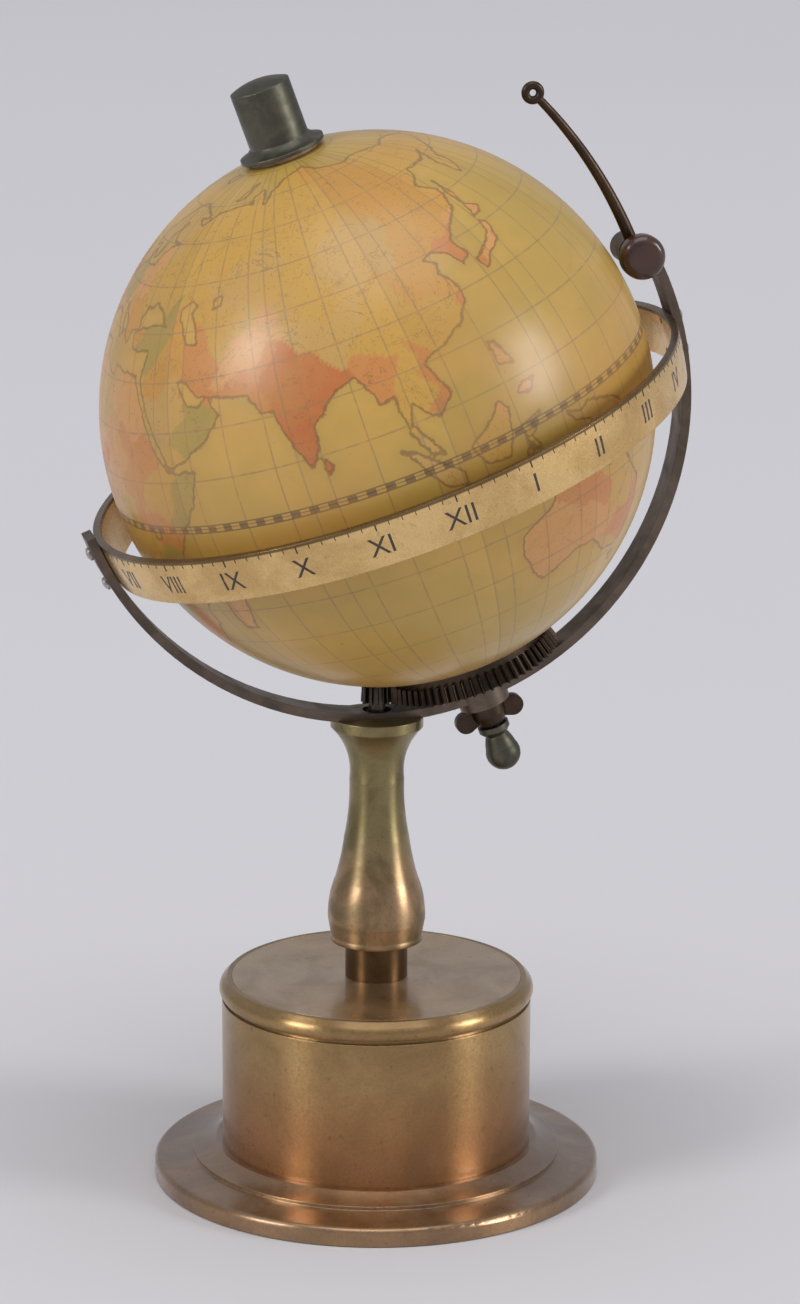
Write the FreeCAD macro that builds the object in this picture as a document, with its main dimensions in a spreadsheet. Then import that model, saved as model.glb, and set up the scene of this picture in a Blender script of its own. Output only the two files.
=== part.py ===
"""Desk globe clock: a drum with a spring movement, a column, a half-meridian arm and a turning globe."""

import FreeCAD, Part
import math
import os
from types import SimpleNamespace

import Sketcher

# Driving dimensions: millimetres, degrees, tooth counts and shares of a named size.
SIZES = {
    "Globe and its frame": {
        "globe_centre_height": 183.5,
        "polar_tilt_deg": 20.0,
        "globe_r": 63.5,
        "globe_wall": 2.2,
        "pole_hole_r": 8.0,
        "hoop_height": 5.0,
        "hoop_wall": 2.4,
        "hub_flange_r": 11.5,
        "hub_length": 7.0,
        "hub_proud": 0.3,
    },
    "Foot and drum": {
        "base_r": 52.4,
        "base_height": 8.0,
        "base_edge_height": 3.0,
        "base_edge_round": 1.3,
        "base_step_r": 43.2,
        "base_step_foot": 5.3,
        "base_step_height": 0.9,
        "base_bore_r": 29.5,
        "drum_r": 36.3,
        "drum_wall": 1.6,
        "drum_top": 48.0,
        "drum_lip_r": 30.2,
        "drum_lip": 1.4,
        "bezel_height": 4.4,
        "bezel_groove": 0.9,
        "bezel_skirt": 2.6,
        "bezel_wall": 1.3,
        "bezel_round": 2.4,
        "top_plate_thickness": 1.5,
        "cover_r": 31.6,
        "cover_thickness": 1.5,
        "winding_hole_r": 3.5,
    },
    "Column": {
        "collar_r": 7.3,
        "collar_height": 9.0,
        "spigot_r": 4.6,
        "column_bore_r": 3.2,
        "bell_r": 11.4,
        "bell_lip": 1.3,
        "bell_height": 5.0,
        "bell_shoulder_r": 9.7,
        "bell_shoulder_rise": 15.0,
        "shaft_waist_r": 6.4,
        "shaft_waist_rise": 39.0,
        "shaft_middle_r": 7.6,
        "shaft_middle_rise": 25.0,
        "bell_curve_r": 60.0,
        "bell_sweep_r": 24.0,
        "capital_r": 10.8,
        "capital_lip": 2.4,
        "capital_curve_r": 15.0,
        "saddle_cheek": 0.8,
        "column_nut_r": 8.0,
        "column_nut_height": 3.2,
        "bush_length": 4.2,
        "bush_inset": 1.0,
    },
    "Meridian arm and hour ring": {
        "arm_inner_r": 71.0,
        "arm_thickness": 2.2,
        "arm_width": 8.0,
        "arm_start_deg": 1.5,
        "arm_end_deg": 190.7,
        "eye_r": 3.6,
        "eye_inset": 3.5,
        "boss_r": 6.0,
        "boss_proud": 2.0,
        "boss_inset": 0.5,
        "shaft_hole_r": 3.4,
        "ring_wall": 1.8,
        "ring_height": 10.8,
        "ring_offset": 4.3,
    },
    "Spindle and its fittings": {
        "spindle_r": 2.0,
        "collar_seat_r": 4.0,
        "washer_r": 5.0,
        "washer_thickness": 0.6,
        "wing_hub_r": 4.2,
        "wing_hub_height": 5.4,
        "wing_reach": 8.4,
        "wing_thickness": 2.0,
        "wing_height": 5.0,
        "finial_neck_r": 2.6,
        "finial_r": 3.7,
        "finial_height": 11.6,
        "cap_flange_r": 9.8,
        "cap_flange_height": 2.6,
        "cap_core_r": 6.9,
        "cap_height": 17.0,
        "cap_dome": 1.5,
    },
    "Index arm": {
        "index_eye_r": 3.4,
        "index_thickness": 3.1,
        "index_reach": 43.0,
        "index_lean_deg": 13.0,
        "index_bow_r": 105.0,
        "index_root_r": 1.5,
        "index_tip_r": 0.95,
        "index_hook_r": 1.7,
        "stud_r": 1.5,
        "stud_head_r": 3.0,
        "stud_head": 1.8,
        "knob_r": 5.2,
        "knob_height": 6.6,
        "knob_neck_r": 3.8,
        "knob_neck": 1.4,
        "knob_round": 2.2,
    },
    "Screws": {
        "case_screw_r": 1.0,
        "case_screw_head_r": 1.9,
        "case_screw_head": 1.2,
        "case_screw_inset": 1.8,
        "cover_screw_r": 0.5,
        "cover_screw_head_r": 0.95,
        "cover_screw_length": 4.0,
        "plate_screw_r": 0.9,
        "plate_screw_head_r": 1.8,
        "plate_screw_head": 1.1,
        "plate_screw_length": 5.5,
        "under_screw_r": 0.8,
        "under_screw_head_r": 1.7,
        "under_screw_head": 0.9,
        "under_screw_length": 4.2,
        "ring_screw_r": 0.8,
        "ring_screw_head_r": 1.6,
        "ring_screw_head": 1.1,
        "ring_screw_spread": 3.8,
        "saddle_screw_r": 0.9,
        "saddle_screw_head_r": 1.7,
        "saddle_screw_length": 5.0,
        "crown_screw_r": 0.55,
        "crown_screw_head_r": 1.1,
        "crown_screw_length": 2.6,
        "crown_screw_circle": 15.2,
    },
    "Movement plates": {
        "plate_thickness": 1.6,
        "lower_plate_r": 34.4,
        "upper_plate_r": 33.4,
        "plate_gap": 24.6,
        "pillar_r": 2.0,
        "pillar_waist_r": 1.4,
        "pillar_foot": 2.5,
        "pillar_circle": 30.6,
        "pillar_rivet_r": 1.2,
    },
    "Gear train": {
        "motion_module": 0.5,
        "cannon_tooth_count": 12,
        "motion_tooth_count": 48,
        "great_module": 0.6,
        "great_tooth_count": 60,
        "centre_leaf_count": 10,
        "centre_module": 0.4,
        "centre_tooth_count": 60,
        "third_leaf_count": 8,
        "third_module": 0.35,
        "third_tooth_count": 56,
        "fourth_leaf_count": 7,
        "fourth_module": 0.3,
        "fourth_tooth_count": 60,
        "escape_leaf_count": 6,
        "escape_tooth_count": 15,
        "escape_r": 4.5,
        "ratchet_tooth_count": 20,
        "ratchet_r": 6.5,
        "wheel_thickness": 1.0,
        "great_thickness": 2.0,
        "motion_thickness": 1.2,
        "centre_direction_deg": 52.4,
        "barrel_direction_deg": 196.26,
        "third_direction_deg": 302.6,
        "fourth_direction_deg": 251.6,
        "escape_direction_deg": 211.0,
        "pallet_direction_deg": 184.4,
        "balance_direction_deg": 197.1,
    },
    "Barrel and winding": {
        "barrel_lift": 1.0,
        "barrel_r": 16.6,
        "barrel_wall": 0.9,
        "barrel_height": 9.5,
        "barrel_cap_thickness": 1.0,
        "core_r": 3.0,
        "barrel_pivot_r": 1.8,
        "barrel_top_pivot_r": 1.0,
        "square_side": 2.6,
        "square_end": 4.4,
        "ratchet_thickness": 1.5,
        "spring_strip": 0.35,
        "spring_pitch": 1.3,
        "spring_half_turn_count": 18,
        "spring_start_r": 3.9,
        "click_distance": 9.6,
        "click_direction_deg": 250.0,
        "click_eye_r": 1.9,
        "click_nose_r": 0.5,
        "click_reach": 5.0,
        "click_nose_direction_deg": 22.0,
        "click_thickness": 1.2,
        "click_spring_wire": 0.5,
        "click_spring_length": 9.0,
        "click_spring_block": 2.4,
    },
    "Arbors": {
        "centre_arbor_r": 1.2,
        "train_arbor_r": 0.8,
        "escape_arbor_r": 0.55,
        "pivot_r": 0.5,
        "centre_pivot_r": 1.0,
        "centre_wheel_level": 18.6,
        "third_wheel_level": 14.6,
        "fourth_wheel_level": 21.8,
        "escape_wheel_level": 5.0,
        "leaf_margin": 0.6,
        "collet_r": 2.2,
        "collet_height": 0.8,
        "motion_hub_r": 3.3,
        "cannon_collar_r": 2.2,
        "cannon_collar": 1.1,
        "cannon_height": 3.8,
        "motion_level": 2.0,
    },
    "Escapement and balance": {
        "pallet_distance": 5.2,
        "pallet_spread": 2.7,
        "pallet_drop": 0.75,
        "pallet_stone_r": 0.3,
        "pallet_arm_r": 0.45,
        "pallet_thickness": 0.8,
        "fork_reach": 5.4,
        "fork_head_r": 0.72,
        "balance_distance": 8.16,
        "balance_r": 7.5,
        "balance_rim": 1.1,
        "balance_thickness": 1.4,
        "balance_level": 16.4,
        "balance_hub_r": 1.5,
        "balance_arm": 1.4,
        "staff_r": 0.7,
        "roller_r": 2.1,
        "roller_level": 7.9,
        "roller_thickness": 0.6,
        "impulse_r": 0.25,
        "impulse_circle": 1.6,
        "hair_strip": 0.15,
        "hair_height": 0.6,
        "hair_pitch": 0.6,
        "hair_half_turn_count": 12,
        "hair_start_r": 1.3,
        "hair_lift": 0.7,
        "cock_foot_distance": 10.6,
        "cock_foot_direction_deg": 190.0,
        "cock_foot_r": 2.6,
        "cock_arm_width": 5.0,
        "cock_level": 20.0,
        "cock_thickness": 1.6,
        "regulator_ring_r": 2.4,
        "regulator_boss_r": 1.4,
        "regulator_boss": 0.9,
        "regulator_thickness": 0.6,
        "regulator_tail": 9.0,
        "regulator_tip_r": 0.6,
    },
    "Drive to the globe": {
        "shaft_r": 1.5,
        "shaft_pivot_r": 0.8,
        "pinion_seat_r": 1.2,
        "crown_leaf_count": 10,
        "crown_tooth_count": 60,
        "crown_near": 65.2,
        "crown_far": 69.3,
        "pinion_hub_r": 2.0,
        "crown_hole_r": 13.2,
        "crown_web": 2.0,
        "crown_web_r": 17.0,
    },
    "Clearances": {
        "running_gap": 0.05,
        "end_gap": 0.2,
        "seat_gap": 0.05,
        "free_gap": 0.35,
        "cut_overrun": 1.0,
    },
}

# Tooth forms: widths as shares of the pitch, heights as shares of the module.
WHEEL_TOOTH_SHARE = 0.41
WHEEL_ADDENDUM_SHARE = 1.1
WHEEL_DEDENDUM_SHARE = 1.0
LEAF_SHARE = 0.32
LEAF_ROOT_SHARE = 0.8
LEAF_TOP_SHARE = 0.22
LEAF_ADDENDUM_SHARE = 0.5
LEAF_DEDENDUM_SHARE = 1.6
SPOKE_COUNT = 4
SPOKE_HALF_SHARE = 0.14
RIM_SHARE = 0.80
HUB_SHARE = 0.28
RATCHET_FACE_SHARE = 0.12
ESCAPE_ROOT_SHARE = 0.76
ESCAPE_TOOTH_SHARES = (0.1, 0.34, 0.8)
WING_ROOT_SHARE = 0.7
COCK_TIP_SHARE = 0.9
HALF_TURN_DEG = 180.0
QUARTER_TURN_DEG = 90.0
PILLAR_DIRECTIONS_DEG = (15.0, 95.0, 215.0, 300.0)
CASE_SCREW_DIRECTIONS_DEG = (55.0, 175.0, 255.0)
COVER_SCREW_DIRECTIONS_DEG = (30.0, 150.0, 270.0)
CROWN_SCREW_DIRECTIONS_DEG = (60.0, 180.0, 300.0)

doc = FreeCAD.newDocument("GlobeClock")
sheet = doc.addObject("Spreadsheet::Sheet", "Sizes")
origin = FreeCAD.Vector(0, 0, 0)
along_z = FreeCAD.Vector(0, 0, 1)
along_y = FreeCAD.Vector(0, 1, 0)
along_x = FreeCAD.Vector(1, 0, 0)
pieces = {}


class Measure:
    """A size that knows its value and the formula that binds an object to the sheet."""

    def __init__(self, text, value):
        self.text = text
        self.value = value

    def joined(self, sign, other, value):
        other_text = other.text if isinstance(other, Measure) else repr(other)
        return Measure(f"({self.text} {sign} {other_text})", value)

    def __add__(self, other):
        return self.joined("+", other, self.value + number(other))

    def __sub__(self, other):
        return self.joined("-", other, self.value - number(other))

    def __mul__(self, other):
        return self.joined("*", other, self.value * number(other))

    def __truediv__(self, other):
        return self.joined("/", other, self.value / number(other))


def number(item):
    """The plain value of a measure or a number."""
    return item.value if isinstance(item, Measure) else float(item)


def square_root(item):
    return Measure(f"sqrt({item.text})", math.sqrt(item.value))


def dome_radius(radius, rise):
    """Radius of the ball whose cap has the given radius and rise."""
    return (radius * radius + rise * rise) / (rise * 2)


def cosine(item):
    return Measure(f"cos({item.text} * 1 deg)", math.cos(math.radians(item.value)))


def sine(item):
    return Measure(f"sin({item.text} * 1 deg)", math.sin(math.radians(item.value)))


def fill_sheet():
    """Write the driving dimensions into the sheet and return them as measures."""
    row = 1
    found = {}
    for heading, entries in SIZES.items():
        sheet.set(f"A{row}", heading)
        row += 1
        for name, value in entries.items():
            sheet.set(f"A{row}", name)
            sheet.set(f"B{row}", str(value))
            sheet.setAlias(f"B{row}", name)
            found[name] = Measure(f"Sizes.{name}", float(value))
            row += 1
    doc.recompute()
    return SimpleNamespace(**found)


size = fill_sheet()
zero = Measure("0", 0.0)


def piece(label, shape_object, frame=None):
    """Name a finished sub-part, put it into its frame and list it for export."""
    shape_object.Label = label
    if frame is not None:
        shape_object.Placement = frame.multiply(shape_object.Placement)
    pieces[label] = shape_object
    return shape_object


def moved(shape_object, x=zero, y=zero, z=zero):
    """Shift an object by measures, bound to the sheet."""
    shape_object.Placement.Base = FreeCAD.Vector(number(x), number(y), number(z))
    for axis, item in (("x", x), ("y", y), ("z", z)):
        if number(item):
            shape_object.setExpression(f"Placement.Base.{axis}", item.text)
    return shape_object


def side_centre(start, end, bend):
    """Centre of the arc from start to end whose signed radius is positive when the centre is on the left."""
    dx, dy = end[0] - start[0], end[1] - start[1]
    chord = math.hypot(dx, dy)
    rise = math.sqrt(max(bend * bend - chord * chord / 4, 0.0))
    side = math.copysign(rise / chord, bend)
    return (start[0] + end[0]) / 2 - dy * side, (start[1] + end[1]) / 2 + dx * side


def profile_edge(start, end, bend):
    """A line or an arc for a sketch, with its start and end point numbers."""
    if bend is None:
        line = Part.LineSegment(FreeCAD.Vector(*start, 0), FreeCAD.Vector(*end, 0))
        return line, 1, 2
    cx, cy = side_centre(start, end, bend)
    angles = [math.atan2(point[1] - cy, point[0] - cx) for point in (start, end)]
    circle = Part.Circle(FreeCAD.Vector(cx, cy, 0), along_z, abs(bend))
    if bend > 0:
        return Part.ArcOfCircle(circle, angles[0], angles[1]), 1, 2
    return Part.ArcOfCircle(circle, angles[1], angles[0]), 2, 1


def profile_sketch(body, name, profile):
    """Sketch of a closed profile; a point is (radius, height), with (bend, turn) added for an arc to it."""
    sketch = body.newObject("Sketcher::SketchObject", name)
    plane = [item for item in body.Origin.OriginFeatures if item.Role == "XZ_Plane"][0]
    sketch.AttachmentSupport = [(plane, "")]
    sketch.MapMode = "FlatFace"
    spots = [(number(point[0]), number(point[1])) for point in profile]
    ends = []
    for index, point in enumerate(profile):
        bend = point[3] * number(point[2]) if len(point) > 2 else None
        edge, first, last = profile_edge(spots[index - 1], spots[index], bend)
        ends.append((sketch.addGeometry(edge, False), first, last))
    for index, point in enumerate(profile):
        geometry, _, last = ends[index]
        follower, first, _ = ends[(index + 1) % len(profile)]
        sketch.addConstraint(Sketcher.Constraint("Coincident", geometry, last, follower, first))
        for kind, item, axis in (("DistanceX", point[0], -2), ("DistanceY", point[1], -1)):
            if number(item) == 0:
                sketch.addConstraint(Sketcher.Constraint("PointOnObject", geometry, last, axis))
                continue
            rule = Sketcher.Constraint(kind, -1, 1, geometry, last, number(item))
            place = sketch.addConstraint(rule)
            sketch.setExpression(f"Constraints[{place}]", item.text)
        if len(point) > 2:
            place = sketch.addConstraint(Sketcher.Constraint("Radius", geometry, number(point[2])))
            sketch.setExpression(f"Constraints[{place}]", point[2].text)
    return sketch


def turned(name, profile):
    """Body turned about its own Z axis from a closed profile of (radius, height) points."""
    body = doc.addObject("PartDesign::Body", name + "_turned")
    sketch = profile_sketch(body, name + "_profile", profile)
    revolution = body.newObject("PartDesign::Revolution", name + "_revolution")
    revolution.Profile = sketch
    revolution.ReferenceAxis = (sketch, ["V_Axis"])
    revolution.Angle = 360.0
    return body


def sleeve(name, inner_r, outer_r, bottom, top):
    """Turned body with a plain rectangular section; a zero inner radius makes it solid."""
    return turned(name, [(inner_r, bottom), (outer_r, bottom), (outer_r, top), (inner_r, top)])


def cylinder(name, radius, bottom, top, x=zero, y=zero):
    """Cylinder primitive between two heights, bound to the sheet."""
    item = doc.addObject("Part::Cylinder", name + "_cylinder")
    item.Radius = number(radius)
    item.Height = number(top) - number(bottom)
    item.setExpression("Radius", radius.text)
    item.setExpression("Height", (top - bottom).text)
    return moved(item, x, y, bottom)


def drill(name, radius, length, placement):
    """Round cutting tool along its placement's Z axis, bound to the sheet."""
    item = doc.addObject("Part::Cylinder", name + "_drill")
    item.setExpression("Radius", radius.text)
    item.setExpression("Height", length.text)
    item.Placement = placement
    return item


def grouped(name, members):
    """Several separate solids as one object."""
    group = doc.addObject("Part::Compound", name + "_group")
    group.Links = members
    return group


def fused(name, members):
    joint = doc.addObject("Part::MultiFuse", name + "_fused")
    joint.Shapes = members
    return joint


def cut(name, base, tools):
    """The base with every tool taken away."""
    result = doc.addObject("Part::Cut", name + "_cut")
    result.Base = base
    result.Tool = grouped(name + "_tools", tools) if len(tools) > 1 else tools[0]
    return result


def copies(name, master, placements):
    """Identical separate solids at the given placements."""
    members = []
    for index, placement in enumerate(placements):
        link = doc.addObject("App::Link", f"{name}_copy{index}")
        link.LinkedObject = master
        link.Placement = placement
        members.append(link)
    return grouped(name, members)


def solid_feature(name, shape, x=zero, y=zero):
    """Object whose shape is worked out from the sheet's values by the calling function."""
    item = doc.addObject("Part::Feature", name + "_solid")
    item.Shape = shape
    return moved(item, x, y)


def placed(x, y, z, rotation=None):
    return FreeCAD.Placement(FreeCAD.Vector(number(x), number(y), number(z)), rotation or FreeCAD.Rotation())


def circle_spots(radius, directions, height=zero):
    """Placements on a circle, each turned to its own direction."""
    spots = []
    for direction in directions:
        turn = FreeCAD.Rotation(along_z, direction)
        spots.append(FreeCAD.Placement(turn.multVec(FreeCAD.Vector(number(radius), 0, number(height))), turn))
    return spots


def globe_frame(lean):
    """Frame at the globe's centre whose Z axis leans by the given angle toward +X."""
    base = FreeCAD.Vector(0, 0, size.globe_centre_height.value)
    return FreeCAD.Placement(base, FreeCAD.Rotation(along_y, lean))


north_frame = globe_frame(-size.polar_tilt_deg.value)
south_frame = globe_frame(HALF_TURN_DEG - size.polar_tilt_deg.value)
down_frame = globe_frame(HALF_TURN_DEG)


def polar_point(radius, angle):
    return radius * math.cos(angle), radius * math.sin(angle)


def tooth_ring(teeth, half_widths, radii, phase):
    """Points of a toothed outline; each tooth is a list of half widths (as angles) at the given radii."""
    points = []
    for index in range(int(teeth)):
        middle = phase + 2 * math.pi * index / teeth
        for half, radius in zip(half_widths, radii):
            points.append(polar_point(radius, middle - half))
        for half, radius in reversed(list(zip(half_widths, radii))):
            if half:
                points.append(polar_point(radius, middle + half))
    return points


def wheel_outline(teeth, module, direction):
    """Wheel teeth with pointed ogive tips, one tooth pointing in the given direction."""
    pitch_r = teeth * module / 2
    half = math.pi / teeth * WHEEL_TOOTH_SHARE
    radii = (pitch_r - WHEEL_DEDENDUM_SHARE * module, pitch_r, pitch_r + WHEEL_ADDENDUM_SHARE * module)
    return tooth_ring(teeth, (half, half, 0.0), radii, math.radians(direction))


def pinion_outline(leaves, module, direction):
    """Pinion leaves with a low rounded tip, one gap facing the given direction."""
    pitch_r = leaves * module / 2
    half = math.pi / leaves
    radii = (pitch_r - LEAF_DEDENDUM_SHARE * module, pitch_r, pitch_r + LEAF_ADDENDUM_SHARE * module)
    widths = (half * LEAF_SHARE * LEAF_ROOT_SHARE, half * LEAF_SHARE, half * LEAF_TOP_SHARE)
    return tooth_ring(leaves, widths, radii, math.radians(direction) + half)


def prism(points, bottom, top):
    """Straight prism over a closed outline between two heights."""
    corners = [FreeCAD.Vector(x, y, bottom) for x, y in points]
    face = Part.Face(Part.makePolygon(corners + corners[:1]))
    return face.extrude(FreeCAD.Vector(0, 0, top - bottom))


def apex_prism(points, near, far):
    """Prism that grows in proportion to its height above the apex at the origin, between two heights."""
    rings = []
    for height in (near, far):
        rings.append([FreeCAD.Vector(x * height / far, y * height / far, height) for x, y in points])
    faces = [Part.Face(Part.makePolygon(ring + ring[:1])) for ring in rings]
    for index in range(len(points)):
        corners = [rings[0][index - 1], rings[0][index], rings[1][index], rings[1][index - 1]]
        faces.append(Part.Face(Part.makePolygon(corners + corners[:1])))
    return Part.makeSolid(Part.makeShell(faces))


def round_hole(radius, bottom, top):
    overrun = size.cut_overrun.value
    height = top - bottom + 2 * overrun
    return Part.makeCylinder(radius, height, FreeCAD.Vector(0, 0, bottom - overrun))


def spoke_windows(root_r, bottom, top):
    """Openings between the spokes of a wheel."""
    outer, inner = root_r * RIM_SHARE, root_r * HUB_SHARE
    windows = []
    for index in range(SPOKE_COUNT):
        start = 2 * math.pi * (index + SPOKE_HALF_SHARE) / SPOKE_COUNT
        end = 2 * math.pi * (index + 1 - SPOKE_HALF_SHARE) / SPOKE_COUNT
        middle = (start + end) / 2
        points = [polar_point(inner, middle), polar_point(outer, start), polar_point(outer, middle),
                  polar_point(outer, end)]
        windows.append(prism(points, bottom - size.cut_overrun.value, top + size.cut_overrun.value))
    return windows


def wheel_shape(teeth, module, direction, bottom, top, bore, spoked=True):
    """Toothed wheel with a bore and, where asked, spokes."""
    teeth, module, bottom, top = number(teeth), number(module), number(bottom), number(top)
    blank = prism(wheel_outline(teeth, module, direction), bottom, top)
    tools = [round_hole(number(bore), bottom, top)]
    if spoked:
        tools += spoke_windows((teeth / 2 - WHEEL_DEDENDUM_SHARE) * module, bottom, top)
    return blank.cut(tools)


def pinion_shape(leaves, module, direction, bottom, top):
    outline = pinion_outline(number(leaves), number(module), direction)
    return prism(outline, number(bottom), number(top))


def link_shape(start, start_r, end, end_r, bottom, top):
    """Flat link with round ends of two radii, between two points of the plane."""
    dx, dy = end[0] - start[0], end[1] - start[1]
    reach = math.hypot(dx, dy)
    heading = math.atan2(dy, dx)
    spread = math.acos((start_r - end_r) / reach)
    corners = []
    rims = ((start, start_r, 1), (end, end_r, 1), (end, end_r, -1), (start, start_r, -1))
    for centre, radius, side in rims:
        x, y = polar_point(radius, heading + side * spread)
        corners.append((centre[0] + x, centre[1] + y))
    height = top - bottom
    ends = [Part.makeCylinder(radius, height, FreeCAD.Vector(*centre, bottom))
            for centre, radius in ((start, start_r), (end, end_r))]
    return prism(corners, bottom, top).fuse(ends).removeSplitter()


def strip_spiral(start_r, pitch, half_turns, strip, bottom, top):
    """Flat spring: half circles on two centres in turn, thickened to a strip and raised to a height."""
    edges = {-1: [], 1: []}
    for index in range(int(half_turns)):
        radius = start_r + pitch * index / 2
        centre = FreeCAD.Vector(pitch / 4 if index % 2 else -pitch / 4, 0, bottom)
        turn = math.pi * (index % 2)
        for side in edges:
            circle = Part.Circle(centre, along_z, radius + side * strip / 2)
            edges[side].append(Part.Arc(circle, turn, turn + math.pi).toShape())
    inner, outer = edges[-1], edges[1]
    starts = [arc.valueAt(arc.FirstParameter) for arc in (inner[0], outer[0])]
    stops = [arc.valueAt(arc.LastParameter) for arc in (inner[-1], outer[-1])]
    ends = [Part.makeLine(*starts), Part.makeLine(*stops)]
    wire = Part.Wire(Part.__sortEdges__(inner + outer + ends))
    return Part.Face(wire).extrude(FreeCAD.Vector(0, 0, top - bottom))


# Heights of the drum and the movement
lip_top = size.base_height + size.drum_lip
plate_bottom = lip_top
plate_top = plate_bottom + size.plate_thickness
upper_bottom = plate_top + size.plate_gap
upper_top = upper_bottom + size.plate_thickness
bezel_bottom = size.drum_top - size.bezel_height
drum_inner_r = size.drum_r - size.drum_wall
deck_bottom = size.drum_top - size.top_plate_thickness
column_foot = size.drum_top + size.collar_height
arm_outer_r = size.arm_inner_r + size.arm_thickness
column_top = size.globe_centre_height - arm_outer_r + size.saddle_cheek

# Places of the arbors, each reached from the one before by half the sum of the pitch diameters
motion_distance = size.motion_module * (size.cannon_tooth_count + size.motion_tooth_count) / 2
great_distance = size.great_module * (size.great_tooth_count + size.centre_leaf_count) / 2
third_distance = size.centre_module * (size.centre_tooth_count + size.third_leaf_count) / 2
fourth_distance = size.third_module * (size.third_tooth_count + size.fourth_leaf_count) / 2
escape_distance = size.fourth_module * (size.fourth_tooth_count + size.escape_leaf_count) / 2


def stepped(spot, distance, direction):
    return spot[0] + distance * cosine(direction), spot[1] + distance * sine(direction)


def heading(spot, mate):
    """Direction in degrees from one arbor to another."""
    return math.degrees(math.atan2(number(mate[1]) - number(spot[1]), number(mate[0]) - number(spot[0])))


centre_spot = stepped((zero, zero), motion_distance, size.centre_direction_deg)
barrel_spot = stepped(centre_spot, great_distance, size.barrel_direction_deg)
third_spot = stepped(centre_spot, third_distance, size.third_direction_deg)
fourth_spot = stepped(third_spot, fourth_distance, size.fourth_direction_deg)
escape_spot = stepped(fourth_spot, escape_distance, size.escape_direction_deg)
pallet_spot = stepped(escape_spot, size.pallet_distance, size.pallet_direction_deg)
balance_spot = stepped(pallet_spot, size.balance_distance, size.balance_direction_deg)
cock_spot = stepped(balance_spot, size.cock_foot_distance, size.cock_foot_direction_deg)
click_spot = stepped(barrel_spot, size.click_distance, size.click_direction_deg)

# Heights of the wheels in the movement
great_bottom = plate_top + size.barrel_lift
great_top = great_bottom + size.great_thickness
centre_level = plate_top + size.centre_wheel_level
third_level = plate_top + size.third_wheel_level
fourth_level = plate_top + size.fourth_wheel_level
escape_level = plate_top + size.escape_wheel_level
motion_bottom = upper_top + size.motion_level
motion_top = motion_bottom + size.motion_thickness


def bearing(pivot_r):
    return pivot_r + size.running_gap


# Foot: a turned ring with a flat underside, a rounded edge, a hollow rise and a step under the drum
def base_flange():
    edge_top = size.base_edge_height + size.base_edge_round
    step_top = size.base_step_foot + size.base_step_height
    seat_r = size.cover_r + size.seat_gap
    profile = [
        (seat_r, zero),
        (size.base_r, zero),
        (size.base_r, size.base_edge_height),
        (size.base_r - size.base_edge_round, edge_top, size.base_edge_round, 1),
        (size.base_step_r, size.base_step_foot, size.base_r, -1),
        (size.base_step_r, step_top),
        (size.drum_r + size.drum_wall, size.base_height, size.base_height * 2, -1),
        (size.base_bore_r, size.base_height),
        (size.base_bore_r, size.cover_thickness),
        (seat_r, size.cover_thickness),
    ]
    tools = []
    for index, spot in enumerate(circle_spots(case_screw_circle, CASE_SCREW_DIRECTIONS_DEG)):
        tools.append(drill(f"case_screw_hole{index}", bearing(size.case_screw_r), size.base_height, spot))
        tools.append(drill(f"case_screw_sink{index}", bearing(size.case_screw_head_r), case_head_top, spot))
    for index, spot in enumerate(circle_spots(cover_screw_circle, COVER_SCREW_DIRECTIONS_DEG)):
        tools.append(drill(f"cover_screw_hole{index}", size.cover_screw_r, cover_screw_top, spot))
    piece("base_flange", cut("base_flange", turned("base_flange", profile), tools))


case_screw_circle = size.drum_lip_r + size.case_screw_inset
case_head_bottom = size.cover_thickness + size.end_gap
case_head_top = case_head_bottom + size.case_screw_head
cover_screw_circle = (size.base_bore_r + size.cover_r) / 2
cover_screw_top = size.cover_screw_length + size.end_gap


def countersunk(name, head_r, shank_r, length):
    """Screw with a flush tapered head; its head's face is at zero and its shank runs up."""
    sink = head_r - shank_r
    profile = [(zero, zero), (head_r, zero), (shank_r, sink), (shank_r, length), (zero, length)]
    return turned(name, profile)


def bottom_cover():
    """Flush cover with a winding hole under the barrel arbor."""
    disc = sleeve("bottom_cover", zero, size.cover_r, zero, size.cover_thickness)
    hole = cylinder("winding_hole", size.winding_hole_r, zero, size.cover_thickness, *barrel_spot)
    tools = [hole]
    for index, spot in enumerate(circle_spots(cover_screw_circle, COVER_SCREW_DIRECTIONS_DEG)):
        tool = countersunk(f"cover_sink{index}", size.cover_screw_head_r + size.seat_gap,
                           size.cover_screw_r + size.seat_gap, size.cover_screw_length)
        tool.Placement = spot
        tools.append(tool)
    piece("bottom_cover", cut("bottom_cover", disc, tools))
    screw = countersunk("cover_screw", size.cover_screw_head_r, size.cover_screw_r, size.cover_screw_length)
    spots = circle_spots(cover_screw_circle, COVER_SCREW_DIRECTIONS_DEG)
    piece("cover_screws", copies("cover_screws", screw, spots))


def drum_case():
    """Thin turned tube with an inward lip at the bottom that the movement stands on."""
    lip_r = size.drum_lip_r
    profile = [
        (lip_r, size.base_height),
        (size.drum_r, size.base_height),
        (size.drum_r, bezel_bottom - size.bezel_groove),
        (size.drum_r - size.bezel_groove, bezel_bottom - size.bezel_groove),
        (size.drum_r - size.bezel_groove, bezel_bottom),
        (drum_inner_r, bezel_bottom),
        (drum_inner_r, lip_top),
        (lip_r, lip_top),
    ]
    tools = []
    for index, spot in enumerate(circle_spots(case_screw_circle, CASE_SCREW_DIRECTIONS_DEG)):
        tools.append(drill(f"lip_hole{index}", bearing(size.case_screw_r), plate_top, spot))
    piece("drum_case", cut("drum_case", turned("drum_case", profile), tools))


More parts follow.
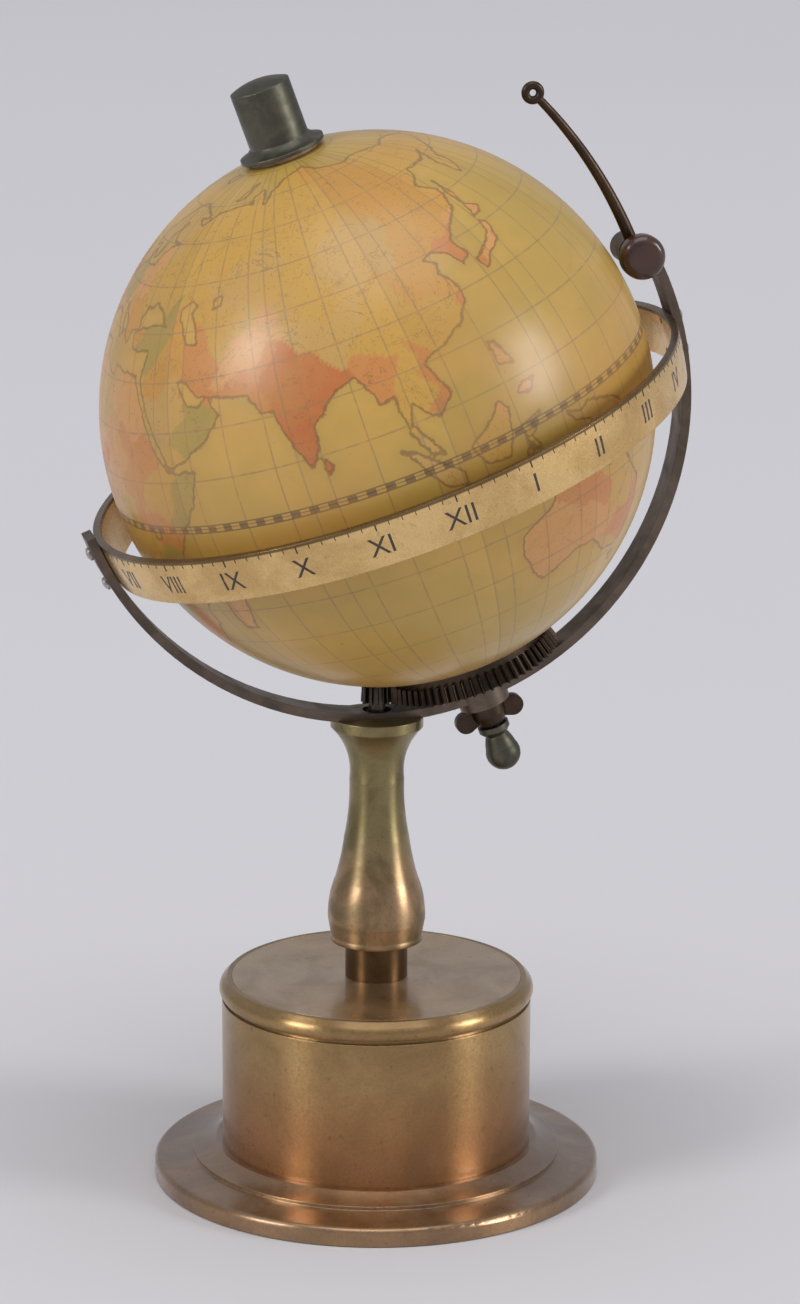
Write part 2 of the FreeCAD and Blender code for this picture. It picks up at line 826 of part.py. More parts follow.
def drum_top():
    """Rounded bezel ring over the case, and the flat top plate let into it."""
    skirt_r = drum_inner_r - size.seat_gap
    inner_r = skirt_r - size.bezel_wall
    seat_r = inner_r + size.bezel_wall / 2
    profile = [
        (inner_r, bezel_bottom - size.bezel_skirt),
        (skirt_r, bezel_bottom - size.bezel_skirt),
        (skirt_r, bezel_bottom),
        (size.drum_r, bezel_bottom),
        (size.drum_r, size.drum_top - size.bezel_round / 2, size.bezel_round, 1),
        (size.drum_r - size.bezel_round / 2, size.drum_top),
        (seat_r, size.drum_top),
        (seat_r, deck_bottom),
        (inner_r, deck_bottom),
    ]
    piece("drum_bezel", turned("drum_bezel", profile))
    plate_r = seat_r - size.seat_gap
    hole_r = size.spigot_r + size.seat_gap
    piece("drum_top_plate", sleeve("drum_top_plate", hole_r, plate_r, deck_bottom, size.drum_top))


def case_screws():
    head_r, shank_r = size.case_screw_head_r, size.case_screw_r
    profile = [(zero, case_head_bottom), (head_r, case_head_bottom), (head_r, case_head_top),
               (shank_r, case_head_top), (shank_r, plate_top), (zero, plate_top)]
    screw = turned("case_screw", profile)
    spots = circle_spots(case_screw_circle, CASE_SCREW_DIRECTIONS_DEG)
    piece("movement_screws", copies("movement_screws", screw, spots))


def saddle_screw_angle():
    """Lean of the saddle screws, which stand midway between the column's bore and the capital's edge."""
    middle = number(size.column_bore_r + size.capital_r) / 2
    return math.degrees(math.asin(middle / number(arm_outer_r)))


def column_parts():
    """Dark collar, tapered bell column with its saddle, the nut that holds it and its two bushes."""
    collar_hole_r = size.spigot_r + size.seat_gap
    piece("column_collar", sleeve("column_collar", collar_hole_r, size.collar_r, size.drum_top, column_foot))
    nut_bottom = deck_bottom - size.column_nut_height
    bell_top = column_foot + size.bell_height
    profile = [
        (size.column_bore_r, nut_bottom),
        (size.spigot_r, nut_bottom),
        (size.spigot_r, column_foot),
        (size.bell_r - size.bell_lip / 2, column_foot),
        (size.bell_r - size.bell_lip / 2, column_foot + size.bell_lip, size.bell_lip, 1),
        (size.bell_r, bell_top, size.bell_curve_r, -1),
        (size.bell_shoulder_r, column_foot + size.bell_shoulder_rise, size.bell_sweep_r, 1),
        (size.shaft_middle_r, column_foot + size.shaft_middle_rise, size.bell_curve_r, -1),
        (size.shaft_waist_r, column_foot + size.shaft_waist_rise, size.bell_curve_r, -1),
        (size.capital_r, column_top - size.capital_lip, size.capital_curve_r, -1),
        (size.capital_r, column_top),
        (size.column_bore_r, column_top),
    ]
    blank = turned("column", profile)
    saddle = doc.addObject("Part::Cylinder", "saddle_cylinder")
    saddle.setExpression("Radius", arm_outer_r.text)
    saddle_width = size.arm_width + size.seat_gap * 2
    saddle.setExpression("Height", saddle_width.text)
    middle = FreeCAD.Vector(0, -number(saddle_width) / 2, number(size.globe_centre_height))
    saddle.Placement = FreeCAD.Placement(middle, FreeCAD.Rotation(along_x, -QUARTER_TURN_DEG))
    tools = [saddle]
    hole_depth = size.saddle_screw_length + size.end_gap * 2
    for index, side in enumerate((-1, 1)):
        frame = globe_frame(HALF_TURN_DEG + side * saddle_screw_angle())
        spot = frame.multiply(placed(zero, zero, size.arm_inner_r))
        tools.append(drill(f"saddle_hole{index}", size.saddle_screw_r, hole_depth, spot))
    piece("column", cut("column", blank, tools))
    nut_hole_r = size.spigot_r + size.seat_gap
    piece("column_nut", sleeve("column_nut", nut_hole_r, size.column_nut_r, nut_bottom, deck_bottom))
    bush_r = size.column_bore_r
    bush_hole_r = bearing(size.shaft_r)
    bushes = []
    top_end = column_top - size.saddle_cheek - size.bush_inset
    for name, bottom in (("lower_bush", nut_bottom), ("upper_bush", top_end - size.bush_length)):
        bushes.append(sleeve(name, bush_hole_r, bush_r, bottom, bottom + size.bush_length))
    piece("column_bushes", grouped("column_bushes", bushes))


def radial_spot(angle, offset=zero):
    """Placement in the meridian arm's plane with its Z axis outward, the angle from +X toward the south."""
    turn = FreeCAD.Rotation(along_y, QUARTER_TURN_DEG - angle)
    base = turn.multVec(FreeCAD.Vector(0, 0, number(offset)))
    return FreeCAD.Placement(base, turn)


def ring_screw_angles():
    """Angles of the four screws that hold the hour ring, two at each end of the arm."""
    middle = number(size.ring_offset) + number(size.ring_height) / 2
    spread = number(size.ring_screw_spread)
    near = [math.degrees(math.asin((middle + side * spread) / number(size.arm_inner_r))) for side in (-1, 1)]
    return near + [HALF_TURN_DEG - angle for angle in near]


def arm_sector(name, radius, width, start, end):
    """Cylinder sector lying across the arm's plane, from one angle to another."""
    item = doc.addObject("Part::Cylinder", name)
    sweep = end - start
    for field, measure in (("Radius", radius), ("Height", width), ("Angle", sweep)):
        item.setExpression(field, measure.text)
    turn = FreeCAD.Rotation(along_x, -QUARTER_TURN_DEG).multiply(FreeCAD.Rotation(along_z, -number(end)))
    item.Placement = FreeCAD.Placement(FreeCAD.Vector(0, -number(width) / 2, 0), turn)
    return item


def across(item, width, angle, radius):
    """Lay a cylinder across the arm at an angle and radius, centred on the arm's plane."""
    x, z = polar_point(number(radius), math.radians(number(angle)))
    base = FreeCAD.Vector(x, -number(width) / 2, z)
    item.Placement = FreeCAD.Placement(base, FreeCAD.Rotation(along_x, -QUARTER_TURN_DEG))
    return item


def meridian_arm():
    """Half-meridian strap with an eye at its upper end and a boss at the south pole."""
    outer = arm_sector("arm_outer", arm_outer_r, size.arm_width, size.arm_start_deg, size.arm_end_deg)
    full_width = size.arm_width + size.cut_overrun * 2
    inner = arm_sector("arm_inner", size.arm_inner_r, full_width, zero, size.arm_end_deg + size.arm_start_deg)
    inner.setExpression("Angle", None)
    inner.Angle = 360.0
    strap = cut("arm_strap", outer, [inner])
    eye = cylinder("arm_eye", size.eye_r, zero, size.arm_width)
    eye = across(eye, size.arm_width, size.arm_end_deg, eye_circle)
    boss = cylinder("arm_boss", size.boss_r, boss_bottom, boss_top)
    blank = fused("arm_blank", [strap, eye, boss])
    spindle_hole = drill("spindle_hole", bearing(size.spindle_r), boss_top + size.cut_overrun,
                         placed(zero, zero, zero))
    stud_hole = cylinder("stud_hole", bearing(size.stud_r), zero, full_width)
    stud_hole = across(stud_hole, full_width, size.arm_end_deg, eye_circle)
    through = size.arm_thickness + size.cut_overrun * 2
    start = size.arm_inner_r - size.cut_overrun
    shaft_hole = drill("shaft_hole", size.shaft_hole_r, through,
                       radial_spot(QUARTER_TURN_DEG - number(size.polar_tilt_deg), start))
    tools = [spindle_hole, stud_hole, shaft_hole]
    for index, side in enumerate((-1, 1)):
        sink = countersunk(f"saddle_sink{index}", size.saddle_screw_head_r + size.seat_gap,
                           size.saddle_screw_r + size.seat_gap, size.saddle_screw_length)
        angle = QUARTER_TURN_DEG - number(size.polar_tilt_deg) + side * saddle_screw_angle()
        sink.Placement = radial_spot(angle, saddle_head_r)
        tools.append(sink)
    for index, angle in enumerate(ring_screw_angles()):
        tools.append(drill(f"arm_ring_hole{index}", bearing(size.ring_screw_r), through,
                           radial_spot(angle, start)))
    piece("meridian_arm", cut("meridian_arm", blank, tools), south_frame)


eye_circle = size.arm_inner_r + size.arm_thickness / 2 - size.eye_inset
boss_bottom = size.arm_inner_r - size.boss_inset
boss_top = arm_outer_r + size.boss_proud
saddle_head_r = size.arm_inner_r + size.end_gap


def hour_ring():
    """Fixed ring just south of the equator, bowed like the globe, let in between the arm's ends."""
    outer_r = size.arm_inner_r - size.seat_gap
    inner_r = outer_r - size.ring_wall
    near, far = size.ring_offset, size.ring_offset + size.ring_height

    def edge(radius, height):
        return square_root(radius * radius - height * height), height

    blank = turned("hour_ring", [
        edge(outer_r, near),
        (*edge(outer_r, far), outer_r, 1),
        edge(inner_r, far),
        (*edge(inner_r, near), inner_r, -1),
    ])
    tools = []
    for index, angle in enumerate(ring_screw_angles()):
        tools.append(drill(f"ring_hole{index}", size.ring_screw_r, size.ring_wall + size.cut_overrun * 2,
                           radial_spot(angle, inner_r - size.cut_overrun)))
    piece("hour_ring", cut("hour_ring", blank, tools), south_frame)
    length = arm_outer_r - inner_r - size.end_gap
    head_r, shank_r, head = size.ring_screw_head_r, size.ring_screw_r, size.ring_screw_head
    profile = [(zero, zero), (shank_r, zero), (shank_r, length), (head_r, length),
               (head_r, length + head / 2), (zero, length + head, dome_radius(head_r, head / 2), 1)]
    screw = turned("ring_screw", profile)
    start = arm_outer_r - length + size.seat_gap
    spots = [radial_spot(angle, start) for angle in ring_screw_angles()]
    piece("ring_screws", copies("ring_screws", screw, spots), south_frame)


def saddle_screws():
    screw = countersunk("saddle_screw", size.saddle_screw_head_r, size.saddle_screw_r,
                        size.saddle_screw_length)
    spots = [radial_spot(QUARTER_TURN_DEG + side * saddle_screw_angle(), saddle_head_r) for side in (-1, 1)]
    piece("saddle_screws", copies("saddle_screws", screw, spots), down_frame)


# Heights along the south axis, measured outward from the globe's centre
hub_face = size.globe_r + size.hub_proud
washer_bottom = hub_face + size.seat_gap
washer_top = washer_bottom + size.washer_thickness
wing_bottom = boss_top + size.seat_gap
wing_top = wing_bottom + size.wing_hub_height
finial_bottom = wing_top + size.end_gap
finial_top = finial_bottom + size.finial_height


def polar_spindle():
    """Fixed spindle through the globe, with the collar that the globe rests on."""
    north_end = size.globe_r + size.cap_height / 2
    spindle = cylinder("spindle_rod", size.spindle_r, zero - north_end, finial_top - size.finial_r * 2)
    spindle.Placement.Base = FreeCAD.Vector(0, 0, -number(north_end))
    collar = cylinder("spindle_collar", size.collar_seat_r, washer_top + size.seat_gap,
                      boss_bottom - size.seat_gap)
    piece("polar_spindle", fused("polar_spindle", [spindle, collar]), south_frame)
    washer = sleeve("thrust_washer", bearing(size.spindle_r), size.washer_r, washer_bottom, washer_top)
    piece("thrust_washer", washer, south_frame)


def wing_nut():
    """Nut with two rounded wings that locks the spindle in the boss."""
    hub_hole_r = bearing(size.spindle_r)
    hub = turned("wing_hub", [
        (hub_hole_r, wing_bottom),
        (size.wing_hub_r, wing_bottom),
        (size.wing_hub_r, wing_bottom + size.wing_hub_height / 2),
        (size.wing_hub_r * 3 / 4, wing_top),
        (hub_hole_r, wing_top),
    ])
    ear_r, half_thick = number(size.wing_height) / 2, number(size.wing_thickness) / 2
    wings = []
    for side in (-1, 1):
        root = (side * number(size.wing_hub_r) * WING_ROOT_SHARE, number(wing_bottom) + ear_r)
        tip = (side * (number(size.wing_reach) - ear_r), number(wing_top) - ear_r)
        ear = link_shape(root, ear_r * WING_ROOT_SHARE, tip, ear_r, -half_thick, half_thick)
        ear.rotate(origin, along_x, QUARTER_TURN_DEG)
        ear = ear.cut(Part.makeCylinder(number(hub_hole_r), number(finial_top)))
        wings.append(solid_feature(f"wing{side}", ear))
    piece("wing_nut", fused("wing_nut", [hub] + wings), south_frame)


def south_finial():
    """Turned acorn that closes the spindle's lower end."""
    bore_r = size.spindle_r + size.seat_gap
    half = finial_bottom + size.finial_height / 2
    bore_top = finial_top - size.finial_r * 2 + size.end_gap
    profile = [
        (bore_r, finial_bottom),
        (size.finial_r, finial_bottom),
        (size.finial_r, finial_bottom + size.finial_neck_r / 2),
        (size.finial_neck_r, finial_bottom + size.finial_neck_r),
        (size.finial_r, half, size.finial_height, 1),
        (zero, finial_top, dome_radius(size.finial_r, size.finial_height / 2), 1),
        (zero, bore_top),
        (bore_r, bore_top),
    ]
    piece("south_finial", turned("south_finial", profile), south_frame)


def north_cap():
    """Heavy turned cap with a spread foot that keeps the globe on the spindle."""
    foot = hub_face + size.end_gap
    top = foot + size.cap_height
    flange_top = foot + size.cap_flange_height
    bore_r = size.spindle_r + size.seat_gap
    bore_top = size.globe_r + size.cap_height / 2 + size.end_gap
    profile = [
        (bore_r, foot),
        (size.cap_flange_r, foot),
        (size.cap_flange_r, foot + size.cap_flange_height / 3),
        (size.cap_core_r, flange_top, size.cap_flange_height * 2, -1),
        (size.cap_core_r, top - size.cap_dome),
        (zero, top, dome_radius(size.cap_core_r, size.cap_dome), 1),
        (zero, bore_top),
        (bore_r, bore_top),
    ]
    piece("north_cap", turned("north_cap", profile), north_frame)


def globe_shell(name, frame, tools=()):
    """Half globe with a round hole at its pole."""
    inner_r = size.globe_r - size.globe_wall
    hole_r = size.pole_hole_r
    profile = [
        (size.globe_r, zero),
        (hole_r, square_root(size.globe_r * size.globe_r - hole_r * hole_r), size.globe_r, 1),
        (hole_r, square_root(inner_r * inner_r - hole_r * hole_r)),
        (inner_r, zero, inner_r, -1),
    ]
    shell = turned(name, profile)
    if tools:
        shell = cut(name, shell, tools)
    piece(name, shell, frame)


def globe_hub(name, frame):
    """Turned hub in the pole hole, with a flange behind the shell and a bore that turns on the spindle."""
    inner_r = size.globe_r - size.globe_wall - size.seat_gap
    rim_height = square_root(inner_r * inner_r - size.hub_flange_r * size.hub_flange_r)
    neck_r = size.pole_hole_r - size.seat_gap
    neck_height = square_root(inner_r * inner_r - neck_r * neck_r)
    bore_r = bearing(size.spindle_r)
    bottom = hub_face - size.hub_length
    profile = [
        (bore_r, bottom),
        (size.hub_flange_r * 2 / 3, bottom),
        (size.hub_flange_r, rim_height - size.globe_wall / 2),
        (size.hub_flange_r, rim_height),
        (neck_r, neck_height, inner_r, 1),
        (neck_r, hub_face),
        (bore_r, hub_face),
    ]
    piece(name, turned(name, profile), frame)


def equator_hoop():
    """Hoop inside the joint of the two half shells."""
    inner_r = size.globe_r - size.globe_wall - size.seat_gap
    half = size.hoop_height / 2
    edge_r = square_root(inner_r * inner_r - half * half)
    hoop_r = edge_r - size.hoop_wall
    hoop = turned("equator_hoop", [(hoop_r, zero), (edge_r, zero), (edge_r, size.hoop_height),
                                   (hoop_r, size.hoop_height)])
    hoop.Placement.Base = FreeCAD.Vector(0, 0, -number(half))
    piece("equator_hoop", hoop, south_frame)


def cone_angles():
    """Half angles of the crown pinion and the crown ring, whose cones meet at the globe's centre."""
    ratio = number(size.crown_tooth_count) / number(size.crown_leaf_count)
    tilt = math.radians(number(size.polar_tilt_deg))
    leaf_angle = math.atan(math.sin(tilt) / (ratio + math.cos(tilt)))
    return leaf_angle, tilt - leaf_angle


def crown_ring():
    """Bevel ring of teeth round the south pole, with a screwed web that lies on the globe."""
    _, ring_angle = cone_angles()
    teeth = number(size.crown_tooth_count)
    near, far = (number(item) * math.cos(ring_angle) for item in (size.crown_near, size.crown_far))
    pitch_r = far * math.tan(ring_angle)
    module = 2 * pitch_r / teeth
    toothed = apex_prism(wheel_outline(teeth, module, 0.0), near, far)
    root_r = pitch_r - WHEEL_DEDENDUM_SHARE * module
    seat_r = number(size.globe_r) + number(size.seat_gap)
    hole_r, web_r = number(size.crown_hole_r), number(size.crown_web_r)
    web_top = math.sqrt(seat_r ** 2 - hole_r ** 2) + number(size.crown_web)
    bore = Part.makeCylinder(web_r, far, FreeCAD.Vector(0, 0, web_top))
    inner = Part.makeCylinder(hole_r, far)
    rim_r = root_r * near / far
    web = Part.makeCylinder(rim_r, near + number(size.crown_web) / 2)
    sphere = Part.makeSphere(seat_r)
    shape = toothed.fuse(web).cut([sphere, bore, inner])
    holes = []
    for spot in circle_spots(size.crown_screw_circle, CROWN_SCREW_DIRECTIONS_DEG):
        hole = Part.makeCylinder(number(size.crown_screw_r), far)
        hole.Placement = spot
        holes.append(hole)
    ring = solid_feature("crown_ring", shape.cut(holes))
    piece("crown_ring", ring, south_frame)
    head_bottom = math.sqrt(seat_r ** 2 - hole_r ** 2) + number(size.crown_web)
    screw = turned("crown_screw", [
        (zero, zero),
        (size.crown_screw_r, zero),
        (size.crown_screw_r, size.crown_screw_length),
        (size.crown_screw_head_r, size.crown_screw_length),
        (size.crown_screw_head_r, size.crown_screw_length + size.crown_screw_r),
        (zero, size.crown_screw_length + size.crown_screw_r),
    ])
    height = Measure("0", head_bottom - number(size.crown_screw_length))
    spots = circle_spots(size.crown_screw_circle, CROWN_SCREW_DIRECTIONS_DEG, height)
    piece("crown_ring_screws", copies("crown_ring_screws", screw, spots), south_frame)


def crown_pinion():
    """Small bevel pinion on the drive shaft that meshes with the crown ring."""
    leaf_angle, _ = cone_angles()
    leaves = number(size.crown_leaf_count)
    near, far = (number(item) * math.cos(leaf_angle) for item in (size.crown_near, size.crown_far))
    module = 2 * far * math.tan(leaf_angle) / leaves
    toothed = apex_prism(pinion_outline(leaves, module, HALF_TURN_DEG), near, far)
    hub_end = number(size.arm_inner_r) - number(size.end_gap)
    hub = Part.makeCylinder(number(size.pinion_hub_r), hub_end - far, FreeCAD.Vector(0, 0, far))
    shape = toothed.fuse(hub).cut(round_hole(number(size.pinion_seat_r), near, hub_end))
    piece("crown_pinion", solid_feature("crown_pinion", shape), down_frame)


def drive_shaft():
    """Upright shaft through the column, from its pivot in the upper plate to the crown pinion."""
    shoulder = upper_top + size.end_gap
    seat = size.globe_centre_height - size.arm_inner_r + size.end_gap
    top = size.globe_centre_height - size.crown_near
    profile = [
        (zero, upper_bottom),
        (size.shaft_pivot_r, upper_bottom),
        (size.shaft_pivot_r, shoulder),
        (size.shaft_r, shoulder),
        (size.shaft_r, seat),
        (size.pinion_seat_r, seat),
        (size.pinion_seat_r, top),
        (zero, top),
    ]
    piece("drive_shaft", turned("drive_shaft", profile))
    wheel = wheel_shape(size.motion_tooth_count, size.motion_module, heading((zero, zero), centre_spot),
                        motion_bottom, motion_top, size.shaft_r)
    hub = sleeve("motion_hub", size.shaft_r, size.motion_hub_r, shoulder + size.end_gap, motion_bottom)
    piece("motion_wheel", fused("motion_wheel", [solid_feature("motion_wheel", wheel), hub]))


def movement_plates():
    """Two round plates drilled for the pivots, held apart by four riveted pillars."""
    pivots = [
        (centre_spot, size.centre_pivot_r),
        (third_spot, size.pivot_r),
        (fourth_spot, size.pivot_r),
        (escape_spot, size.pivot_r),
        (pallet_spot, size.pivot_r),
    ]
    lower_pivots = pivots + [(balance_spot, size.pivot_r), (barrel_spot, size.barrel_pivot_r)]
    upper_pivots = pivots + [((zero, zero), size.shaft_pivot_r), (barrel_spot, size.barrel_top_pivot_r)]
    tools = []
    for index, (spot, radius) in enumerate(lower_pivots):
        tools.append(cylinder(f"lower_pivot{index}", bearing(radius), plate_bottom, plate_top, *spot))
    for index, spot in enumerate((cock_spot, click_spot)):
        tools.append(cylinder(f"under_hole{index}", size.under_screw_r, plate_bottom, plate_top, *spot))
    tools += plate_circle_holes("rivet_hole", size.pillar_rivet_r, size.pillar_circle,
                                PILLAR_DIRECTIONS_DEG, plate_bottom)
    tools += plate_circle_holes("case_thread", size.case_screw_r, case_screw_circle,
                                CASE_SCREW_DIRECTIONS_DEG, plate_bottom)
    blank = sleeve("lower_plate", zero, size.lower_plate_r, plate_bottom, plate_top)
    piece("lower_plate", cut("lower_plate", blank, tools))
    tools = []
    for index, (spot, radius) in enumerate(upper_pivots):
        tools.append(cylinder(f"upper_pivot{index}", bearing(radius), upper_bottom, upper_top, *spot))
    tools += plate_circle_holes("screw_hole", bearing(size.plate_screw_r), size.pillar_circle,
                                PILLAR_DIRECTIONS_DEG, upper_bottom)
    blank = sleeve("upper_plate", zero, size.upper_plate_r, upper_bottom, upper_top)
    piece("upper_plate", cut("upper_plate", blank, tools))


def plate_circle_holes(name, radius, circle, directions, bottom):
    """Holes through a plate on a circle."""
    spots = circle_spots(circle, directions, bottom)
    return [drill(f"{name}{index}", radius, size.plate_thickness, spot) for index, spot in enumerate(spots)]


def pillars():
    """Turned pillars riveted into the lower plate and drilled for the screws of the upper plate."""
    foot = size.pillar_foot
    thread_r = size.plate_screw_r
    thread_bottom = upper_top - size.plate_screw_length - size.end_gap
    profile = [
        (zero, plate_bottom),
        (size.pillar_rivet_r, plate_bottom),
        (size.pillar_rivet_r, plate_top),
        (size.pillar_r, plate_top),
        (size.pillar_r, plate_top + foot),
        (size.pillar_waist_r, plate_top + foot + foot / 4),
        (size.pillar_waist_r, thread_bottom - foot - foot / 4),
        (size.pillar_r, thread_bottom - foot),
        (size.pillar_r, upper_bottom),
        (thread_r, upper_bottom),
        (thread_r, thread_bottom),
        (zero, thread_bottom),
    ]
    spots = circle_spots(size.pillar_circle, PILLAR_DIRECTIONS_DEG)
    piece("plate_pillars", copies("plate_pillars", turned("pillar", profile), spots))
    bottom = upper_top - size.plate_screw_length
    head_top = upper_top + size.plate_screw_head
    screw = turned("plate_screw", [
        (zero, bottom), (thread_r, bottom), (thread_r, upper_top), (size.plate_screw_head_r, upper_top),
        (size.plate_screw_head_r, head_top), (zero, head_top),
    ])
    piece("plate_screws", copies("plate_screws", screw, spots))


def under_plate_screws():
    """Two like screws from below: one carries the click, the other holds the balance cock."""
    head_r, shank_r, head = size.under_screw_head_r, size.under_screw_r, size.under_screw_head
    length = size.under_screw_length
    screw = turned("under_screw", [
        (zero, zero), (head_r, zero), (head_r, head), (shank_r, head), (shank_r, head + length),
        (zero, head + length),
    ])
    cock_bottom = plate_bottom - head
    click_bottom = plate_bottom - size.end_gap * 2 - size.click_thickness - head
    spots = [placed(*cock_spot, cock_bottom), placed(*click_spot, click_bottom)]
    piece("under_plate_screws", copies("under_plate_screws", screw, spots))


def barrel_parts():
    """Going barrel: toothed drum, cap, mainspring and the arbor with its winding square."""
    drum_bottom = great_top
    drum_top_height = drum_bottom + size.barrel_height
    cap_top = drum_top_height + size.barrel_cap_thickness
    hole_r = bearing(size.barrel_pivot_r)
    teeth = wheel_shape(size.great_tooth_count, size.great_module, heading(barrel_spot, centre_spot),
                        great_bottom, great_top, hole_r, spoked=False)
    inner_r = size.barrel_r - size.barrel_wall
    wall = sleeve("barrel_wall", inner_r, size.barrel_r, drum_bottom, drum_top_height)
    barrel = fused("barrel", [solid_feature("great_wheel", teeth), wall])
    piece("barrel", moved(barrel, *barrel_spot))
    cap = sleeve("barrel_cap", hole_r, size.barrel_r, drum_top_height, cap_top)
    piece("barrel_cap", moved(cap, *barrel_spot))
    spring_bottom, spring_top = drum_bottom + size.end_gap, drum_top_height - size.end_gap
    spiral = strip_spiral(number(size.spring_start_r), number(size.spring_pitch),
                          number(size.spring_half_turn_count), number(size.spring_strip),
                          number(spring_bottom), number(spring_top))
    piece("mainspring", solid_feature("mainspring", spiral, *barrel_spot))
    core_bottom, core_top = great_top + size.end_gap, drum_top_height - size.end_gap
    pivot_r, top_pivot_r = size.barrel_pivot_r, size.barrel_top_pivot_r
    body = turned("barrel_arbor", [
        (zero, plate_bottom), (pivot_r, plate_bottom), (pivot_r, core_bottom), (size.core_r, core_bottom),
        (size.core_r, core_top), (pivot_r, core_top), (pivot_r, cap_top + size.end_gap),
        (top_pivot_r, cap_top + size.end_gap), (top_pivot_r, upper_top), (zero, upper_top),
    ])
    square = doc.addObject("Part::Box", "winding_square")
    side = size.square_side
    for field, measure in (("Length", side), ("Width", side), ("Height", plate_bottom - size.square_end)):
        square.setExpression(field, measure.text)
    square.Placement.Base = FreeCAD.Vector(-number(side) / 2, -number(side) / 2, number(size.square_end))
    piece("barrel_arbor", moved(fused("barrel_arbor", [body, square]), *barrel_spot))


def ratchet_parts():
    """Ratchet on the winding square, its click and the wire spring of the click."""
    top = number(plate_bottom - size.end_gap)
    bottom = top - number(size.ratchet_thickness)
    teeth, tip_r = number(size.ratchet_tooth_count), number(size.ratchet_r)
    pitch = 2 * math.pi / teeth
    root_r = tip_r - number(size.ratchet_thickness) / 2
    outline = []
    for index in range(int(teeth)):
        outline += [polar_point(tip_r, index * pitch),
                    polar_point(root_r, (index + RATCHET_FACE_SHARE) * pitch)]
    side = number(size.square_side)
    hole = Part.makeBox(side, side, top + number(size.cut_overrun), FreeCAD.Vector(-side / 2, -side / 2, 0))
    wheel = solid_feature("ratchet_wheel", prism(outline, bottom, top).cut(hole), *barrel_spot)
    piece("ratchet_wheel", wheel)
    click_top = top
    click_bottom = click_top - number(size.click_thickness)
    reach = number(size.click_reach)
    nose = polar_point(reach, math.radians(number(size.click_nose_direction_deg)))
    lever = link_shape((0.0, 0.0), number(size.click_eye_r), nose, number(size.click_nose_r),
                       click_bottom, click_top)
    lever = lever.cut(round_hole(number(bearing(size.under_screw_r)), click_bottom, click_top))
    piece("click", solid_feature("click", lever, *click_spot))
    wire = number(size.click_spring_wire)
    block = number(size.click_spring_block)
    gap = number(size.click_eye_r) + number(size.free_gap)
    blade = Part.makeBox(number(size.click_spring_length), wire, click_top - click_bottom,
                         FreeCAD.Vector(-number(size.click_eye_r), -gap - wire, click_bottom))
    plate_under = number(plate_bottom)
    foot = Part.makeBox(block, block, plate_under - click_bottom,
                        FreeCAD.Vector(-number(size.click_eye_r) - block, -gap - block, click_bottom))
    piece("click_spring", solid_feature("click_spring", blade.fuse(foot), *click_spot))


def arbor(name, spot, profile, leaves, module, mate, bottom, top):
    """Arbor turned from steel with its pinion leaves."""
    body = turned(name, profile)
    leaf_solid = pinion_shape(leaves, module, heading(spot, mate), bottom, top)
    return piece(name, moved(fused(name, [body, solid_feature(name + "_leaves", leaf_solid)]), *spot))


def train_profile(wheel_bottom, lower_r, arbor_r, upper_r, top):
    """Outline of an arbor with two pivots and a collet under its wheel."""
    shoulder = plate_top + size.end_gap
    upper_shoulder = upper_bottom - size.end_gap
    return [
        (zero, plate_bottom),
        (lower_r, plate_bottom),
        (lower_r, shoulder),
        (arbor_r, shoulder),
        (arbor_r, wheel_bottom - size.collet_height),
        (size.collet_r, wheel_bottom - size.collet_height),
        (size.collet_r, wheel_bottom),
        (arbor_r, wheel_bottom),
        (arbor_r, upper_shoulder),
        (upper_r, upper_shoulder),
        (upper_r, top),
        (zero, top),
    ]


def going_train():
    """Centre, third, fourth and escape wheels with their arbors."""
    pivot_r, arbor_r, margin = size.pivot_r, size.train_arbor_r, size.leaf_margin
    thick = size.wheel_thickness
    cannon_top = upper_top + size.end_gap + size.cannon_collar + size.cannon_height + size.end_gap
    profile = train_profile(centre_level, size.centre_pivot_r, size.centre_arbor_r, size.centre_pivot_r,
                            cannon_top)
    arbor("centre_arbor", centre_spot, profile, size.centre_leaf_count, size.great_module, barrel_spot,
          great_bottom - margin, great_top + margin)
    wheel = wheel_shape(size.centre_tooth_count, size.centre_module, heading(centre_spot, third_spot),
                        centre_level, centre_level + thick, size.centre_arbor_r)
    piece("centre_wheel", solid_feature("centre_wheel", wheel, *centre_spot))
    profile = train_profile(third_level, pivot_r, arbor_r, pivot_r, upper_top)
    arbor("third_arbor", third_spot, profile, size.third_leaf_count, size.centre_module, centre_spot,
          centre_level - margin, centre_level + thick + margin)
    wheel = wheel_shape(size.third_tooth_count, size.third_module, heading(third_spot, fourth_spot),
                        third_level, third_level + thick, arbor_r)
    piece("third_wheel", solid_feature("third_wheel", wheel, *third_spot))
    profile = train_profile(fourth_level, pivot_r, arbor_r, pivot_r, upper_top)
    arbor("fourth_arbor", fourth_spot, profile, size.fourth_leaf_count, size.third_module, third_spot,
          third_level - margin, third_level + thick + margin)
    wheel = wheel_shape(size.fourth_tooth_count, size.fourth_module, heading(fourth_spot, escape_spot),
                        fourth_level, fourth_level + thick, arbor_r)
    piece("fourth_wheel", solid_feature("fourth_wheel", wheel, *fourth_spot))
    profile = train_profile(escape_level, pivot_r, size.escape_arbor_r, pivot_r, upper_top)
    arbor("escape_arbor", escape_spot, profile, size.escape_leaf_count, size.fourth_module, fourth_spot,
          fourth_level - margin, fourth_level + thick + margin)
    piece("escape_wheel", solid_feature("escape_wheel", escape_shape(), *escape_spot))


